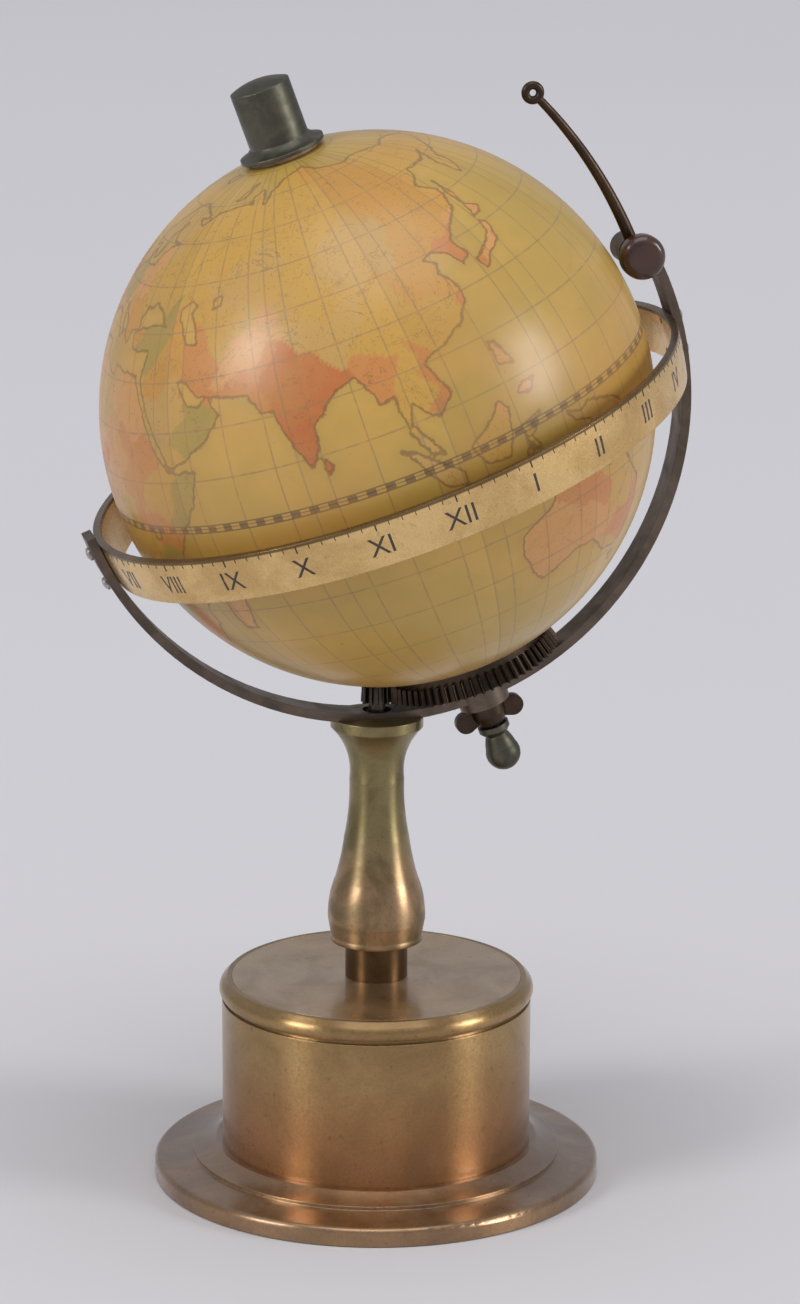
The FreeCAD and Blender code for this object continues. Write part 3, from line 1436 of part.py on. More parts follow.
def escape_shape():
    """Escape wheel with forward-leaning pointed teeth."""
    teeth, tip_r = number(size.escape_tooth_count), number(size.escape_r)
    pitch = 2 * math.pi / teeth
    bottom = number(escape_level)
    top = bottom + number(size.wheel_thickness)
    root_r = tip_r * ESCAPE_ROOT_SHARE
    point, hollow, back = ESCAPE_TOOTH_SHARES
    outline = []
    for index in range(int(teeth)):
        start = index * pitch
        outline += [polar_point(tip_r, start), polar_point(tip_r, start + pitch * point),
                    polar_point(root_r, start + pitch * hollow), polar_point(root_r, start + pitch * back)]
    blank = prism(outline, bottom, top)
    windows = spoke_windows(root_r, bottom, top)
    return blank.cut([round_hole(number(size.escape_arbor_r), bottom, top)] + windows)


def cannon_pinion():
    """Pinion that slips on the centre arbor and drives the motion wheel."""
    bottom = upper_top + size.end_gap
    collar_top = bottom + size.cannon_collar
    top = collar_top + size.cannon_height
    leaves = pinion_shape(size.cannon_tooth_count, size.motion_module, heading(centre_spot, (zero, zero)),
                          collar_top, top)
    hole_r = bearing(size.centre_pivot_r)
    leaves = leaves.cut(round_hole(number(hole_r), number(collar_top), number(top)))
    collar = sleeve("cannon_collar", hole_r, size.cannon_collar_r, bottom, collar_top)
    item = fused("cannon_pinion", [collar, solid_feature("cannon_leaves", leaves)])
    piece("cannon_pinion", moved(item, *centre_spot))


def pallet_lever():
    """Lever with two pallets over the escape wheel and a fork that reaches toward the balance."""
    stone_bottom = number(escape_level)
    arm_bottom = number(escape_level + size.wheel_thickness + size.end_gap + size.running_gap * 2)
    arm_top = arm_bottom + number(size.pallet_thickness)
    stone_r, arm_r = number(size.pallet_stone_r), number(size.pallet_arm_r)
    toward_escape = math.radians(heading(pallet_spot, escape_spot))
    toward_balance = math.radians(heading(pallet_spot, balance_spot))
    shapes = []
    drop, spread = number(size.pallet_drop), number(size.pallet_spread)
    for side in (-1, 1):
        x = drop * math.cos(toward_escape) - side * spread * math.sin(toward_escape)
        y = drop * math.sin(toward_escape) + side * spread * math.cos(toward_escape)
        shapes.append(link_shape((0.0, 0.0), 2 * arm_r, (x, y), arm_r, arm_bottom, arm_top))
        shapes.append(Part.makeCylinder(stone_r, arm_top - stone_bottom, FreeCAD.Vector(x, y, stone_bottom)))
    fork = polar_point(number(size.fork_reach), toward_balance)
    shapes.append(link_shape((0.0, 0.0), 2 * arm_r, fork, number(size.fork_head_r), arm_bottom, arm_top))
    notch = round_hole(number(size.impulse_r + size.seat_gap * 2), arm_bottom, arm_top)
    fork_end = polar_point(number(size.fork_reach + size.fork_head_r), toward_balance)
    notch.translate(FreeCAD.Vector(*fork_end, 0))
    lever = shapes[0].fuse(shapes[1:]).cut(notch)
    staff = turned("pallet_arbor", [
        (zero, plate_bottom), (size.pivot_r, plate_bottom), (size.pivot_r, upper_top), (zero, upper_top),
    ])
    item = fused("pallet_lever", [solid_feature("pallet_arms", lever), staff])
    piece("pallet_lever", moved(item, *pallet_spot))


def balance_parts():
    """Balance wheel on its staff, with the flat balance spring above it."""
    bottom = plate_top + size.balance_level
    top = bottom + size.balance_thickness
    rim = sleeve("balance_rim", size.balance_r - size.balance_rim, size.balance_r, bottom, top)
    hub = sleeve("balance_hub", size.staff_r, size.balance_hub_r, bottom, top)
    arms = []
    for index in range(2):
        arm = doc.addObject("Part::Box", f"balance_arm{index}")
        length = size.balance_r - size.balance_rim / 2 - size.balance_hub_r + size.running_gap
        fields = (("Length", length), ("Width", size.balance_arm), ("Height", size.balance_thickness / 2))
        for field, measure in fields:
            arm.setExpression(field, measure.text)
        turn = FreeCAD.Rotation(along_z, HALF_TURN_DEG * index)
        corner = FreeCAD.Vector(number(size.balance_hub_r) - number(size.running_gap),
                                -number(size.balance_arm) / 2, number(bottom))
        arm.Placement = FreeCAD.Placement(turn.multVec(corner), turn)
        arms.append(arm)
    piece("balance_wheel", moved(fused("balance_wheel", [rim, hub] + arms), *balance_spot))
    cock_bottom = plate_top + size.cock_level
    roller_bottom = plate_top + size.roller_level
    roller_top = roller_bottom + size.roller_thickness
    shoulder = plate_top + size.end_gap
    pivot_r, staff_r = size.pivot_r, size.staff_r
    profile = [
        (zero, plate_bottom), (pivot_r, plate_bottom), (pivot_r, shoulder), (staff_r, shoulder),
        (staff_r, roller_bottom), (size.roller_r, roller_bottom), (size.roller_r, roller_top),
        (staff_r, roller_top), (staff_r, cock_bottom - size.end_gap), (pivot_r, cock_bottom - size.end_gap),
        (pivot_r, cock_bottom + size.cock_thickness), (zero, cock_bottom + size.cock_thickness),
    ]
    toward_pallet = math.radians(heading(balance_spot, pallet_spot))
    x, y = polar_point(number(size.impulse_circle), toward_pallet)
    pin_bottom = number(roller_bottom) - number(size.pallet_thickness) - number(size.end_gap)
    pin_length = number(roller_bottom + size.running_gap) - pin_bottom
    pin = Part.makeCylinder(number(size.impulse_r), pin_length, FreeCAD.Vector(x, y, pin_bottom))
    item = fused("balance_staff", [turned("staff", profile), solid_feature("impulse_pin", pin)])
    piece("balance_staff", moved(item, *balance_spot))
    hair_bottom = number(top + size.hair_lift)
    start_r, pitch, half_turns = (number(item) for item in (
        size.hair_start_r, size.hair_pitch, size.hair_half_turn_count))
    spiral = strip_spiral(start_r, pitch, half_turns, number(size.hair_strip), hair_bottom,
                          hair_bottom + number(size.hair_height))
    stud_x = start_r + pitch * (half_turns - 1) / 2 + pitch / 4
    stud = Part.makeCylinder(number(size.pivot_r), number(cock_bottom) - hair_bottom,
                             FreeCAD.Vector(stud_x, 0, hair_bottom))
    spiral = spiral.fuse(stud)
    spiral.rotate(origin, along_z, number(size.cock_foot_direction_deg))
    piece("balance_spring", solid_feature("balance_spring", spiral, *balance_spot))


def balance_cock():
    """Cock on a round foot over the balance, and the regulator lever on its boss."""
    bottom, thick = plate_top + size.cock_level, size.cock_thickness
    top = bottom + thick
    foot = cylinder("cock_foot", size.cock_foot_r, plate_top, top, *cock_spot)
    half = number(size.cock_arm_width) / 2
    start, end = [(number(spot[0]), number(spot[1])) for spot in (cock_spot, balance_spot)]
    arm = link_shape(start, half, end, half * COCK_TIP_SHARE, number(bottom), number(top))
    arm = solid_feature("cock_arm", arm)
    boss = cylinder("cock_boss", size.regulator_boss_r, top, top + size.regulator_boss, *balance_spot)
    thread_top = plate_top + size.under_screw_length
    tools = [
        cylinder("cock_pivot", bearing(size.pivot_r), bottom, top, *balance_spot),
        cylinder("cock_thread", size.under_screw_r, plate_top, thread_top, *cock_spot),
    ]
    piece("balance_cock", cut("balance_cock", fused("cock_blank", [foot, arm, boss]), tools))
    lever_bottom = number(top) + number(size.running_gap)
    lever_top = lever_bottom + number(size.regulator_thickness)
    across_cock = math.radians(number(size.cock_foot_direction_deg) - QUARTER_TURN_DEG)
    tail = polar_point(number(size.regulator_tail), across_cock)
    lever = link_shape((0.0, 0.0), number(size.regulator_ring_r), tail, number(size.regulator_tip_r),
                       lever_bottom, lever_top)
    lever = lever.cut(round_hole(number(bearing(size.regulator_boss_r)), lever_bottom, lever_top))
    piece("regulator_lever", solid_feature("regulator_lever", lever, *balance_spot))


def index_parts():
    """Tapered, bowed index arm on a stud through the meridian arm's eye, with its clamping knob."""
    eye_x, eye_z = polar_point(number(eye_circle), math.radians(number(size.arm_end_deg)))
    half_width = number(size.arm_width) / 2
    gap = number(size.running_gap) * 2
    index_front = half_width + gap + number(size.index_thickness)
    knob_start = index_front + gap
    across_turn = FreeCAD.Rotation(along_x, -QUARTER_TURN_DEG)
    seat = south_frame.multiply(FreeCAD.Placement(FreeCAD.Vector(eye_x, 0, eye_z), across_turn))
    stud_end = Measure("0", knob_start) + size.knob_height - size.knob_neck
    rear = size.arm_width / 2 + size.running_gap
    head_r, head, stud_length = size.stud_head_r, size.stud_head, size.stud_head + rear + stud_end
    stud = turned("index_stud", [
        (zero, zero), (head_r, zero), (head_r, head), (size.stud_r, head), (size.stud_r, stud_length),
        (zero, stud_length),
    ])
    flip = placed(zero, zero, rear + size.stud_head, FreeCAD.Rotation(along_x, HALF_TURN_DEG))
    piece("index_stud", stud, seat.multiply(flip))
    bore_r = size.stud_r + size.seat_gap
    knob = turned("index_knob", [
        (bore_r, zero), (size.knob_neck_r, zero), (size.knob_neck_r, size.knob_neck),
        (size.knob_r, size.knob_neck + size.knob_round / 2),
        (size.knob_r, size.knob_height - size.knob_round),
        (size.knob_r - size.knob_round, size.knob_height, size.knob_round, 1), (zero, size.knob_height),
        (zero, size.knob_height - size.knob_neck / 2), (bore_r, size.knob_height - size.knob_neck / 2),
    ])
    flip = FreeCAD.Placement(FreeCAD.Vector(0, 0, -knob_start), FreeCAD.Rotation(along_x, HALF_TURN_DEG))
    piece("index_knob", knob, seat.multiply(flip))
    piece("index_arm", solid_feature("index_arm", index_shape(half_width + gap)), seat)


def index_shape(inner_face):
    """Eye, bowed tapered rod and small hook, in the frame of the stud with its Z axis along the stud."""
    thick = number(size.index_thickness)
    eye = Part.makeCylinder(number(size.index_eye_r), thick, FreeCAD.Vector(0, 0, -inner_face - thick))
    bore = round_hole(number(bearing(size.stud_r)), -inner_face - thick, -inner_face)
    return eye.fuse(index_rod(-inner_face - thick / 2)).cut(bore)


def index_rod(level):
    """Rod along an arc from the eye to the tip, thinner toward the tip, ending in a small hook."""
    reach, bow_r = number(size.index_reach), number(size.index_bow_r)
    lean = math.radians(number(size.index_lean_deg))
    start = FreeCAD.Vector(0, 0, level)
    tip = FreeCAD.Vector(math.sin(lean) * reach, math.cos(lean) * reach, level)
    chord = tip - start
    side = FreeCAD.Vector(-chord.y, chord.x, 0)
    side.normalize()
    sag = bow_r - math.sqrt(bow_r ** 2 - reach ** 2 / 4)
    middle = start + chord * 0.5 + side * sag
    path = Part.Arc(start, middle, tip).toShape()
    sections = []
    for spot, radius in ((path.FirstParameter, size.index_root_r), (path.LastParameter, size.index_tip_r)):
        circle = Part.Circle(path.valueAt(spot), path.tangentAt(spot), number(radius))
        sections.append(Part.Wire([circle.toShape()]))
    rod = Part.Wire([path]).makePipeShell(sections, True, False)
    heading_end = path.tangentAt(path.LastParameter)
    hook_r = number(size.index_hook_r)
    hook = Part.makeTorus(hook_r, number(size.index_tip_r), tip + heading_end * hook_r, along_z)
    return rod.fuse(hook)


def build():
    base_flange()
    bottom_cover()
    drum_case()
    drum_top()
    case_screws()
    column_parts()
    meridian_arm()
    hour_ring()
    saddle_screws()
    polar_spindle()
    wing_nut()
    south_finial()
    north_cap()
    globe_shell("globe_north", north_frame)
    spots = circle_spots(size.crown_screw_circle, CROWN_SCREW_DIRECTIONS_DEG)
    screw_holes = [drill(f"globe_screw_hole{index}", size.crown_screw_r, size.globe_r, spot)
                   for index, spot in enumerate(spots)]
    globe_shell("globe_south", south_frame, screw_holes)
    globe_hub("north_hub", north_frame)
    globe_hub("south_hub", south_frame)
    equator_hoop()
    crown_ring()
    crown_pinion()
    drive_shaft()
    movement_plates()
    pillars()
    under_plate_screws()
    barrel_parts()
    ratchet_parts()
    going_train()
    cannon_pinion()
    pallet_lever()
    balance_parts()
    balance_cock()
    index_parts()


def check_and_export():
    """Stop on any failed object or empty shape, then write each sub-part to its own file."""
    doc.recompute()
    failed = [item.Name for item in doc.Objects if {"Invalid", "Error"} & set(item.State)]
    if failed:
        raise RuntimeError(f"failed objects: {failed}")
    for label, item in pieces.items():
        shape = item.Shape
        if shape.isNull() or not shape.isValid() or not shape.Solids:
            raise RuntimeError(f"{label} has no valid solid")
    os.makedirs("parts", exist_ok=True)
    for label, item in pieces.items():
        item.Shape.exportStep(f"parts/{label}.step")
        print(f"{label}: {len(item.Shape.Solids)} solids, {item.Shape.Volume:.1f} mm3")


build()
check_and_export()
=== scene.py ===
"""Dressed model of a desk globe clock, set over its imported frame.

A globe turns inside a fixed hour ring on a leaning spindle. A half ring carries it on a turned column,
and a round drum on a stepped foot holds the movement. Each class dresses one sub-assembly, in metres,
in the row's own frame.
"""

import logging
import math
from dataclasses import dataclass
from enum import Enum
from functools import cache
from typing import Any, Sequence

import bmesh
import bpy
import numpy as np
from mathutils import Matrix, Quaternion, Vector


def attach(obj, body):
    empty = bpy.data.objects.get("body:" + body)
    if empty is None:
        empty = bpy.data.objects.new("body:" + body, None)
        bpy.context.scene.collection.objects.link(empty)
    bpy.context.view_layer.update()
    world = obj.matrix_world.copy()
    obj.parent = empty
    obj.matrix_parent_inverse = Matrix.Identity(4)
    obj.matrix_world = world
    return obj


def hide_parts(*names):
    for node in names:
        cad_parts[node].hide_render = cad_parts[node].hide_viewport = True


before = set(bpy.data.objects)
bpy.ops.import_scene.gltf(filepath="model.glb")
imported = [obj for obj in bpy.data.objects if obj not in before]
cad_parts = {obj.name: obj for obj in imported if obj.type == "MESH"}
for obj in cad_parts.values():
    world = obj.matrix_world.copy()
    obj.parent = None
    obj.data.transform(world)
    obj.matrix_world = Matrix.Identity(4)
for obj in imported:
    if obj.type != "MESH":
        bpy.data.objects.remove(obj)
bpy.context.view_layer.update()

log = logging.getLogger("globe_clock")

Socket = bpy.types.NodeSocket
Colour = tuple[float, float, float]
Vec = tuple[float, float, float]
LonLat = tuple[float, float]
Levels = tuple[float, float]

MM = 0.001
ORIGIN: Vec = (0.0, 0.0, 0.0)
FRAME_WIDTH = 800
FRAME_HEIGHT = 1304


class Body(Enum):
    """The CAD bodies that new pieces ride on."""

    BASE = "base"
    GLOBE = "globe"


class Effect(Enum):
    """The shared shader groups, by name."""

    EDGE_WEAR = "edge_wear"
    TURNED_LINES = "turned_lines"
    TARNISH = "tarnish"
    DUST = "dust"
    GRAIN = "grain"
    GRATICULE = "graticule"


class Tint(Enum):
    """The printer's colour washes on the map, yellowed by old varnish."""

    ROSE = (0.54, 0.19, 0.05)
    BRICK = (0.48, 0.12, 0.028)
    GOLD = (0.52, 0.295, 0.05)
    AMBER = (0.54, 0.26, 0.04)
    BUFF = (0.50, 0.30, 0.08)
    SAGE = (0.33, 0.25, 0.055)
    PEACH = (0.60, 0.28, 0.085)
    BONE = (0.55, 0.40, 0.17)


# Map outlines: longitude and latitude in degrees, rounded to a simple coast.
LANDS: dict[str, list[LonLat]] = {
    "eurasia": [
        (-9, 37), (-9, 43), (-2, 43.5), (-1, 46), (-4.5, 48.5), (2, 51), (5, 53.5), (8.5, 55), (8, 57),
        (10.5, 57.5), (11, 54.5), (14, 54), (19, 54.5), (21, 57), (24, 59.2), (30, 60), (23, 60.2),
        (21.5, 62.5), (25, 65), (22, 65.5), (17.5, 61), (18.5, 60), (16, 56.5), (13, 55.5), (11, 59),
        (6, 58.5), (5, 62), (12, 66), (18, 69.5), (26, 71), (32, 69.5), (41, 67), (33, 66.5), (38, 64.5),
        (45, 68), (54, 68.5), (60, 69), (68, 68.5), (67, 71), (72, 73), (74, 68), (80, 72), (87, 75),
        (98, 76.5), (105, 77.5), (113, 74), (128, 72), (140, 72.5), (152, 71), (161, 69.5), (172, 70),
        (180, 69), (189.5, 66), (183, 63), (178, 62.5), (170, 60), (163, 58), (162, 55), (157, 51),
        (156, 57), (163, 62), (155, 59.5), (143, 59.5), (136, 54.5), (141, 52), (138, 46.5), (132, 43),
        (128, 40), (129.5, 36), (126.5, 34.5), (125, 38), (121.5, 40), (118, 39), (121, 37), (119.5, 35),
        (122, 31), (121, 28), (117, 24), (110, 21.5), (106, 20), (109, 13), (105, 9), (100.5, 13.5),
        (99, 10), (103.5, 2), (101, 3), (98.5, 8), (97.5, 16), (94.5, 16), (91.5, 22.5), (87, 21.5),
        (80.5, 15.5), (80, 11), (77.5, 8), (74.5, 14), (72.5, 21), (70, 21), (67, 25), (61, 25.5),
        (57, 26.5), (54, 26.5), (50.5, 30), (48, 30), (51, 25), (54, 24.5), (56.5, 26), (59.5, 22.5),
        (55, 17.5), (45, 13), (43, 13), (39, 21), (35, 28), (34, 31), (36, 36.5), (31, 36.5), (27, 37),
        (26.5, 40), (30, 41), (36, 42), (41.5, 41.5), (38, 45), (34, 46.5), (33, 45), (30.5, 46.5),
        (28, 43), (28.5, 41), (24, 40.5), (23, 37), (20, 40), (19, 42), (13.5, 45.5), (16, 41.5),
        (18.3, 40), (16, 38), (10.5, 43), (7, 43.5), (3, 42.5), (0, 39.5), (-2, 36.8), (-5.5, 36),
    ],
    "africa": [
        (-6, 35.5), (0, 36), (10, 37.2), (11, 34), (15, 32), (19, 30.5), (20, 33), (25, 32), (32, 31.2),
        (33.5, 28.5), (37, 21), (38.5, 18), (43, 12), (51, 12), (48, 5), (42, -1.5), (39, -6),
        (40.5, -14.5), (35, -20), (35, -24), (32.5, -26), (31, -29.5), (26, -34), (19, -34.7), (17, -30),
        (14, -22), (12, -16.5), (13.5, -10), (9, -1), (9.5, 4), (4.5, 6.3), (-2, 4.8), (-8, 4.5),
        (-13, 8.5), (-17, 14.5), (-16.5, 20), (-14, 26), (-9.8, 30),
    ],
    "north_america": [
        (-168, 65.6), (-162, 66.5), (-166, 68.5), (-157, 71.2), (-141, 69.7), (-128, 70), (-115, 68.5),
        (-108, 68), (-95, 68), (-94, 71.5), (-90, 69), (-82, 69.5), (-82, 67), (-87, 65), (-94, 61),
        (-94, 58.5), (-87, 56.5), (-82, 55), (-80, 51.5), (-78.5, 54.5), (-77, 60), (-74, 62),
        (-65, 58.5), (-60, 55.5), (-56, 52), (-60, 50), (-66, 50), (-70, 47), (-64.5, 48.5), (-64.5, 46),
        (-60.5, 46), (-66, 43.5), (-70, 43.5), (-70, 41.7), (-74, 40.5), (-76, 37), (-75.5, 35.2),
        (-81, 31.5), (-80, 26.5), (-81, 25.2), (-83, 29.5), (-89, 30), (-90, 29), (-94, 29.5),
        (-97.5, 27), (-97.5, 22), (-95, 18.5), (-91, 18.5), (-90, 21), (-87, 21.3), (-88.5, 16),
        (-83.5, 15), (-83.5, 10.5), (-79.5, 9.3), (-77.5, 8.5), (-80, 7.5), (-83, 8.3), (-87.5, 13),
        (-94, 16), (-102, 18), (-105.5, 20.5), (-106, 23), (-110, 28), (-114.5, 31.7), (-111, 26),
        (-109.8, 23), (-112.5, 26), (-117, 32.5), (-120.6, 34.6), (-124, 40), (-124, 47), (-123, 49),
        (-130, 54), (-134, 58.5), (-144, 60), (-151, 59.5), (-158, 56.5), (-164, 54.6), (-158, 58.5),
        (-164, 60), (-165, 63), (-161, 64.5),
    ],
    "south_america": [
        (-77.5, 8.5), (-75.5, 10.8), (-72, 12), (-71.5, 10.8), (-64, 10.5), (-60, 8.3), (-52, 5),
        (-50, 0), (-44, -2.5), (-39, -3.5), (-35, -6), (-35, -9), (-39, -14), (-40, -21), (-44, -23),
        (-48.5, -26), (-49, -28.5), (-53.5, -34), (-58.3, -34.3), (-57, -37), (-62, -39), (-65, -41),
        (-67.5, -46), (-69, -51), (-68, -54.8), (-73, -53), (-75.5, -48), (-73.5, -42), (-73.5, -37),
        (-71.5, -30), (-70.3, -18.5), (-76, -14), (-79.5, -8), (-81.3, -5), (-80, -2.5), (-78.7, 1.5),
        (-77.5, 4),
    ],
    "australia": [
        (114, -22), (113.5, -26), (115.7, -32), (118, -35), (123.5, -34), (129, -32), (134, -32.5),
        (138, -35.5), (140.5, -38), (146.5, -39), (150, -37), (153.3, -31), (153, -25), (149, -20.5),
        (145.5, -15), (142.5, -11), (140.5, -17.5), (136, -15), (136.5, -12), (131, -12), (129, -15),
        (125, -14.5), (122, -18), (117, -20.5),
    ],
    "antarctica": [
        (-180, -78), (-150, -77), (-120, -74), (-100, -73), (-75, -72), (-62, -64), (-60, -70),
        (-62, -76), (-35, -78), (-15, -72), (20, -69.5), (50, -66.5), (80, -68), (110, -66), (145, -67),
        (165, -71), (168, -78), (180, -78), (180, -90), (-180, -90),
    ],
    "greenland": [
        (-45, 60), (-52, 65), (-54, 70), (-60, 76), (-68, 77), (-60, 82), (-32, 83.5), (-18, 80),
        (-20, 74), (-25, 70), (-38, 66),
    ],
    "baffin": [
        (-62, 66), (-68, 63), (-78, 64.5), (-73, 68), (-80, 70), (-90, 72), (-80, 73.7), (-72, 71.3),
    ],
    "victoria": [(-105, 69), (-117, 69.5), (-117, 73), (-105, 73)],
    "ellesmere": [(-80, 76.5), (-90, 77), (-92, 81), (-65, 83), (-75, 79)],
    "newfoundland": [(-59, 47.7), (-53, 46.7), (-55.5, 51.5)],
    "cuba": [(-84.8, 22), (-80, 23), (-74.3, 20.2), (-77.5, 19.9)],
    "hispaniola": [(-74, 18.5), (-68.5, 18.3), (-70, 19.8), (-73, 19.9)],
    "iceland": [(-22.5, 64), (-18.5, 63.5), (-14, 64.8), (-16, 66.3), (-22.5, 66.3)],
    "britain": [
        (-5.5, 50), (1, 51.2), (1.5, 53), (-2, 56), (-2, 57.5), (-5, 58.6), (-5.5, 56), (-3, 54.5),
        (-4.5, 52),
    ],
    "ireland": [(-6.2, 52.2), (-6, 54.5), (-8, 55.3), (-10, 52)],
    "svalbard": [(12, 78), (20, 77), (27, 80), (15, 80)],
    "novaya": [(53, 71), (57, 71), (68, 76.5), (60, 75.5)],
    "madagascar": [(49.5, -12), (50.5, -15.5), (47.5, -25), (44, -25), (43.5, -21.5), (44.5, -16.5)],
    "ceylon": [(80, 9.7), (81.8, 7.5), (80.5, 6), (79.8, 7.5)],
    "honshu": [
        (130.5, 33.5), (131.5, 31.5), (136, 33.8), (140.5, 35.5), (141.8, 39.5), (140.5, 41.3),
        (139, 37.8), (136, 35.8), (131, 34.4),
    ],
    "hokkaido": [(140, 41.8), (143.3, 42), (145.3, 43.5), (142, 45.3), (141.3, 43.3)],
    "sakhalin": [(142, 46), (143.5, 49), (143, 54), (142, 50)],
    "luzon": [(120.5, 18.5), (122, 18.3), (124, 13), (120.5, 14)],
    "mindanao": [(122, 7), (125.5, 6), (126.5, 8.5), (123.5, 8.5)],
    "borneo": [
        (109, 1.5), (111.5, 2.5), (115, 5), (117, 7), (119, 5), (117.5, 1), (116, -4), (111, -3.5),
        (109, 0),
    ],
    "sumatra": [(95.3, 5.6), (98, 4), (103.5, -0.5), (106, -3), (105.8, -5.8), (102, -4.5), (98.5, 0.5)],
    "java": [(105.3, -6.5), (108.5, -6.3), (114.5, -7.6), (114, -8.9), (106.5, -7.7)],
    "celebes": [
        (119.5, -5.5), (120.5, -3), (120, 0.8), (125, 1.5), (121, 0.2), (123, -1), (121.5, -2),
        (122.5, -5), (120.8, -3), (120.3, -5.5),
    ],
    "new_guinea": [
        (131, -1), (134.5, -3), (138, -1.8), (144.5, -4), (147.5, -6), (150.5, -10.5), (147, -9.5),
        (143, -9), (138, -8), (137.5, -5.5), (133, -4),
    ],
    "tasmania": [(145, -41), (148.2, -41), (147, -43.5)],
    "north_island": [(173, -35), (178.3, -38), (175.5, -41.5), (174, -39)],
    "south_island": [(172.7, -40.7), (174.2, -41.7), (170.5, -46), (167, -46), (168.5, -44)],
}

INLAND_SEAS: dict[str, list[LonLat]] = {
    "caspian": [
        (47, 45), (51, 47), (53, 45), (51, 44), (53, 41), (54, 37), (50, 37.5), (49, 41), (47, 43),
    ],
    "aral": [(58.5, 44), (61.5, 44.5), (61, 46.5), (59, 46)],
    "superior": [(-92, 46.7), (-84.7, 46.6), (-86, 48.6), (-89, 48.2)],
    "victoria_lake": [(31.8, -2.5), (34, -2), (34, 0.3), (31.8, 0.2)],
}

# Where each wash of colour sits: longitude, latitude, tint. Land takes the wash of the nearest one.
WASHES: list[tuple[float, float, Tint]] = [
    (78, 24, Tint.BRICK), (77, 15, Tint.BRICK), (85, 25, Tint.BRICK), (68, 27, Tint.ROSE),
    (95, 21, Tint.ROSE), (101, 16, Tint.GOLD), (107, 15, Tint.ROSE), (103, 30, Tint.GOLD),
    (113, 28, Tint.GOLD), (112, 36, Tint.AMBER), (88, 33, Tint.BUFF), (86, 41, Tint.GOLD),
    (104, 46, Tint.BUFF), (126, 45, Tint.AMBER), (127, 38, Tint.ROSE), (90, 60, Tint.GOLD),
    (120, 62, Tint.AMBER), (150, 63, Tint.GOLD), (62, 60, Tint.GOLD), (70, 48, Tint.BUFF),
    (62, 40, Tint.GOLD), (66, 34, Tint.PEACH), (54, 33, Tint.ROSE), (45, 24, Tint.BUFF),
    (52, 18, Tint.SAGE), (43, 33, Tint.AMBER), (35, 39, Tint.SAGE), (45, 57, Tint.GOLD),
    (32, 50, Tint.GOLD), (18, 65, Tint.BUFF), (20, 50, Tint.PEACH), (10, 50, Tint.SAGE),
    (2, 47, Tint.ROSE), (-4, 40, Tint.GOLD), (12, 43, Tint.BUFF), (22, 42, Tint.AMBER),
    (-2, 54, Tint.ROSE), (29, 27, Tint.PEACH), (30, 14, Tint.ROSE), (17, 27, Tint.BUFF),
    (3, 28, Tint.PEACH), (-6, 32, Tint.SAGE), (0, 16, Tint.PEACH), (8, 9, Tint.ROSE),
    (20, 13, Tint.PEACH), (40, 8, Tint.GOLD), (46, 4, Tint.SAGE), (37, 0, Tint.ROSE), (23, -3, Tint.GOLD),
    (35, -7, Tint.SAGE), (18, -12, Tint.BUFF), (27, -15, Tint.ROSE), (36, -16, Tint.BUFF),
    (18, -23, Tint.SAGE), (25, -30, Tint.ROSE), (47, -19, Tint.PEACH), (122, -25, Tint.PEACH),
    (134, -20, Tint.ROSE), (134, -30, Tint.PEACH), (145, -22, Tint.GOLD), (147, -32, Tint.ROSE),
    (144, -37, Tint.BUFF), (173, -40, Tint.ROSE), (139, -5, Tint.BUFF), (146, -7, Tint.ROSE),
    (114, 1, Tint.GOLD), (103, 0, Tint.BUFF), (122, 12, Tint.PEACH), (138, 37, Tint.PEACH),
    (-100, 60, Tint.ROSE), (-75, 52, Tint.ROSE), (-152, 65, Tint.BUFF), (-118, 42, Tint.GOLD),
    (-95, 40, Tint.BUFF), (-80, 38, Tint.GOLD), (-102, 24, Tint.SAGE), (-86, 14, Tint.PEACH),
    (-78, 21, Tint.AMBER), (-73, 5, Tint.GOLD), (-66, 8, Tint.PEACH), (-58, 4, Tint.ROSE),
    (-55, -10, Tint.BUFF), (-75, -10, Tint.SAGE), (-64, -17, Tint.GOLD), (-65, -35, Tint.PEACH),
    (-71, -33, Tint.BUFF), (-56, -25, Tint.SAGE), (-42, 72, Tint.BONE), (0, -85, Tint.BONE),
    (90, -78, Tint.BONE), (-90, -78, Tint.BONE), (-18, 65, Tint.BUFF),
]


@dataclass(frozen=True)
class Noise:
    """A cloud pattern: features per metre, octaves, share of the finer ones, and how far it swirls."""

    scale: float
    detail: float = 3.0
    roughness: float = 0.55
    distortion: float = 0.0


@dataclass(frozen=True)
class Patch(Noise):
    """A cloud pattern cut to patches, which begin at one level of it and are full at another."""

    low: float = 0.3
    high: float = 0.7
    to_low: float = 0.0
    to_high: float = 1.0
    smooth: bool = True


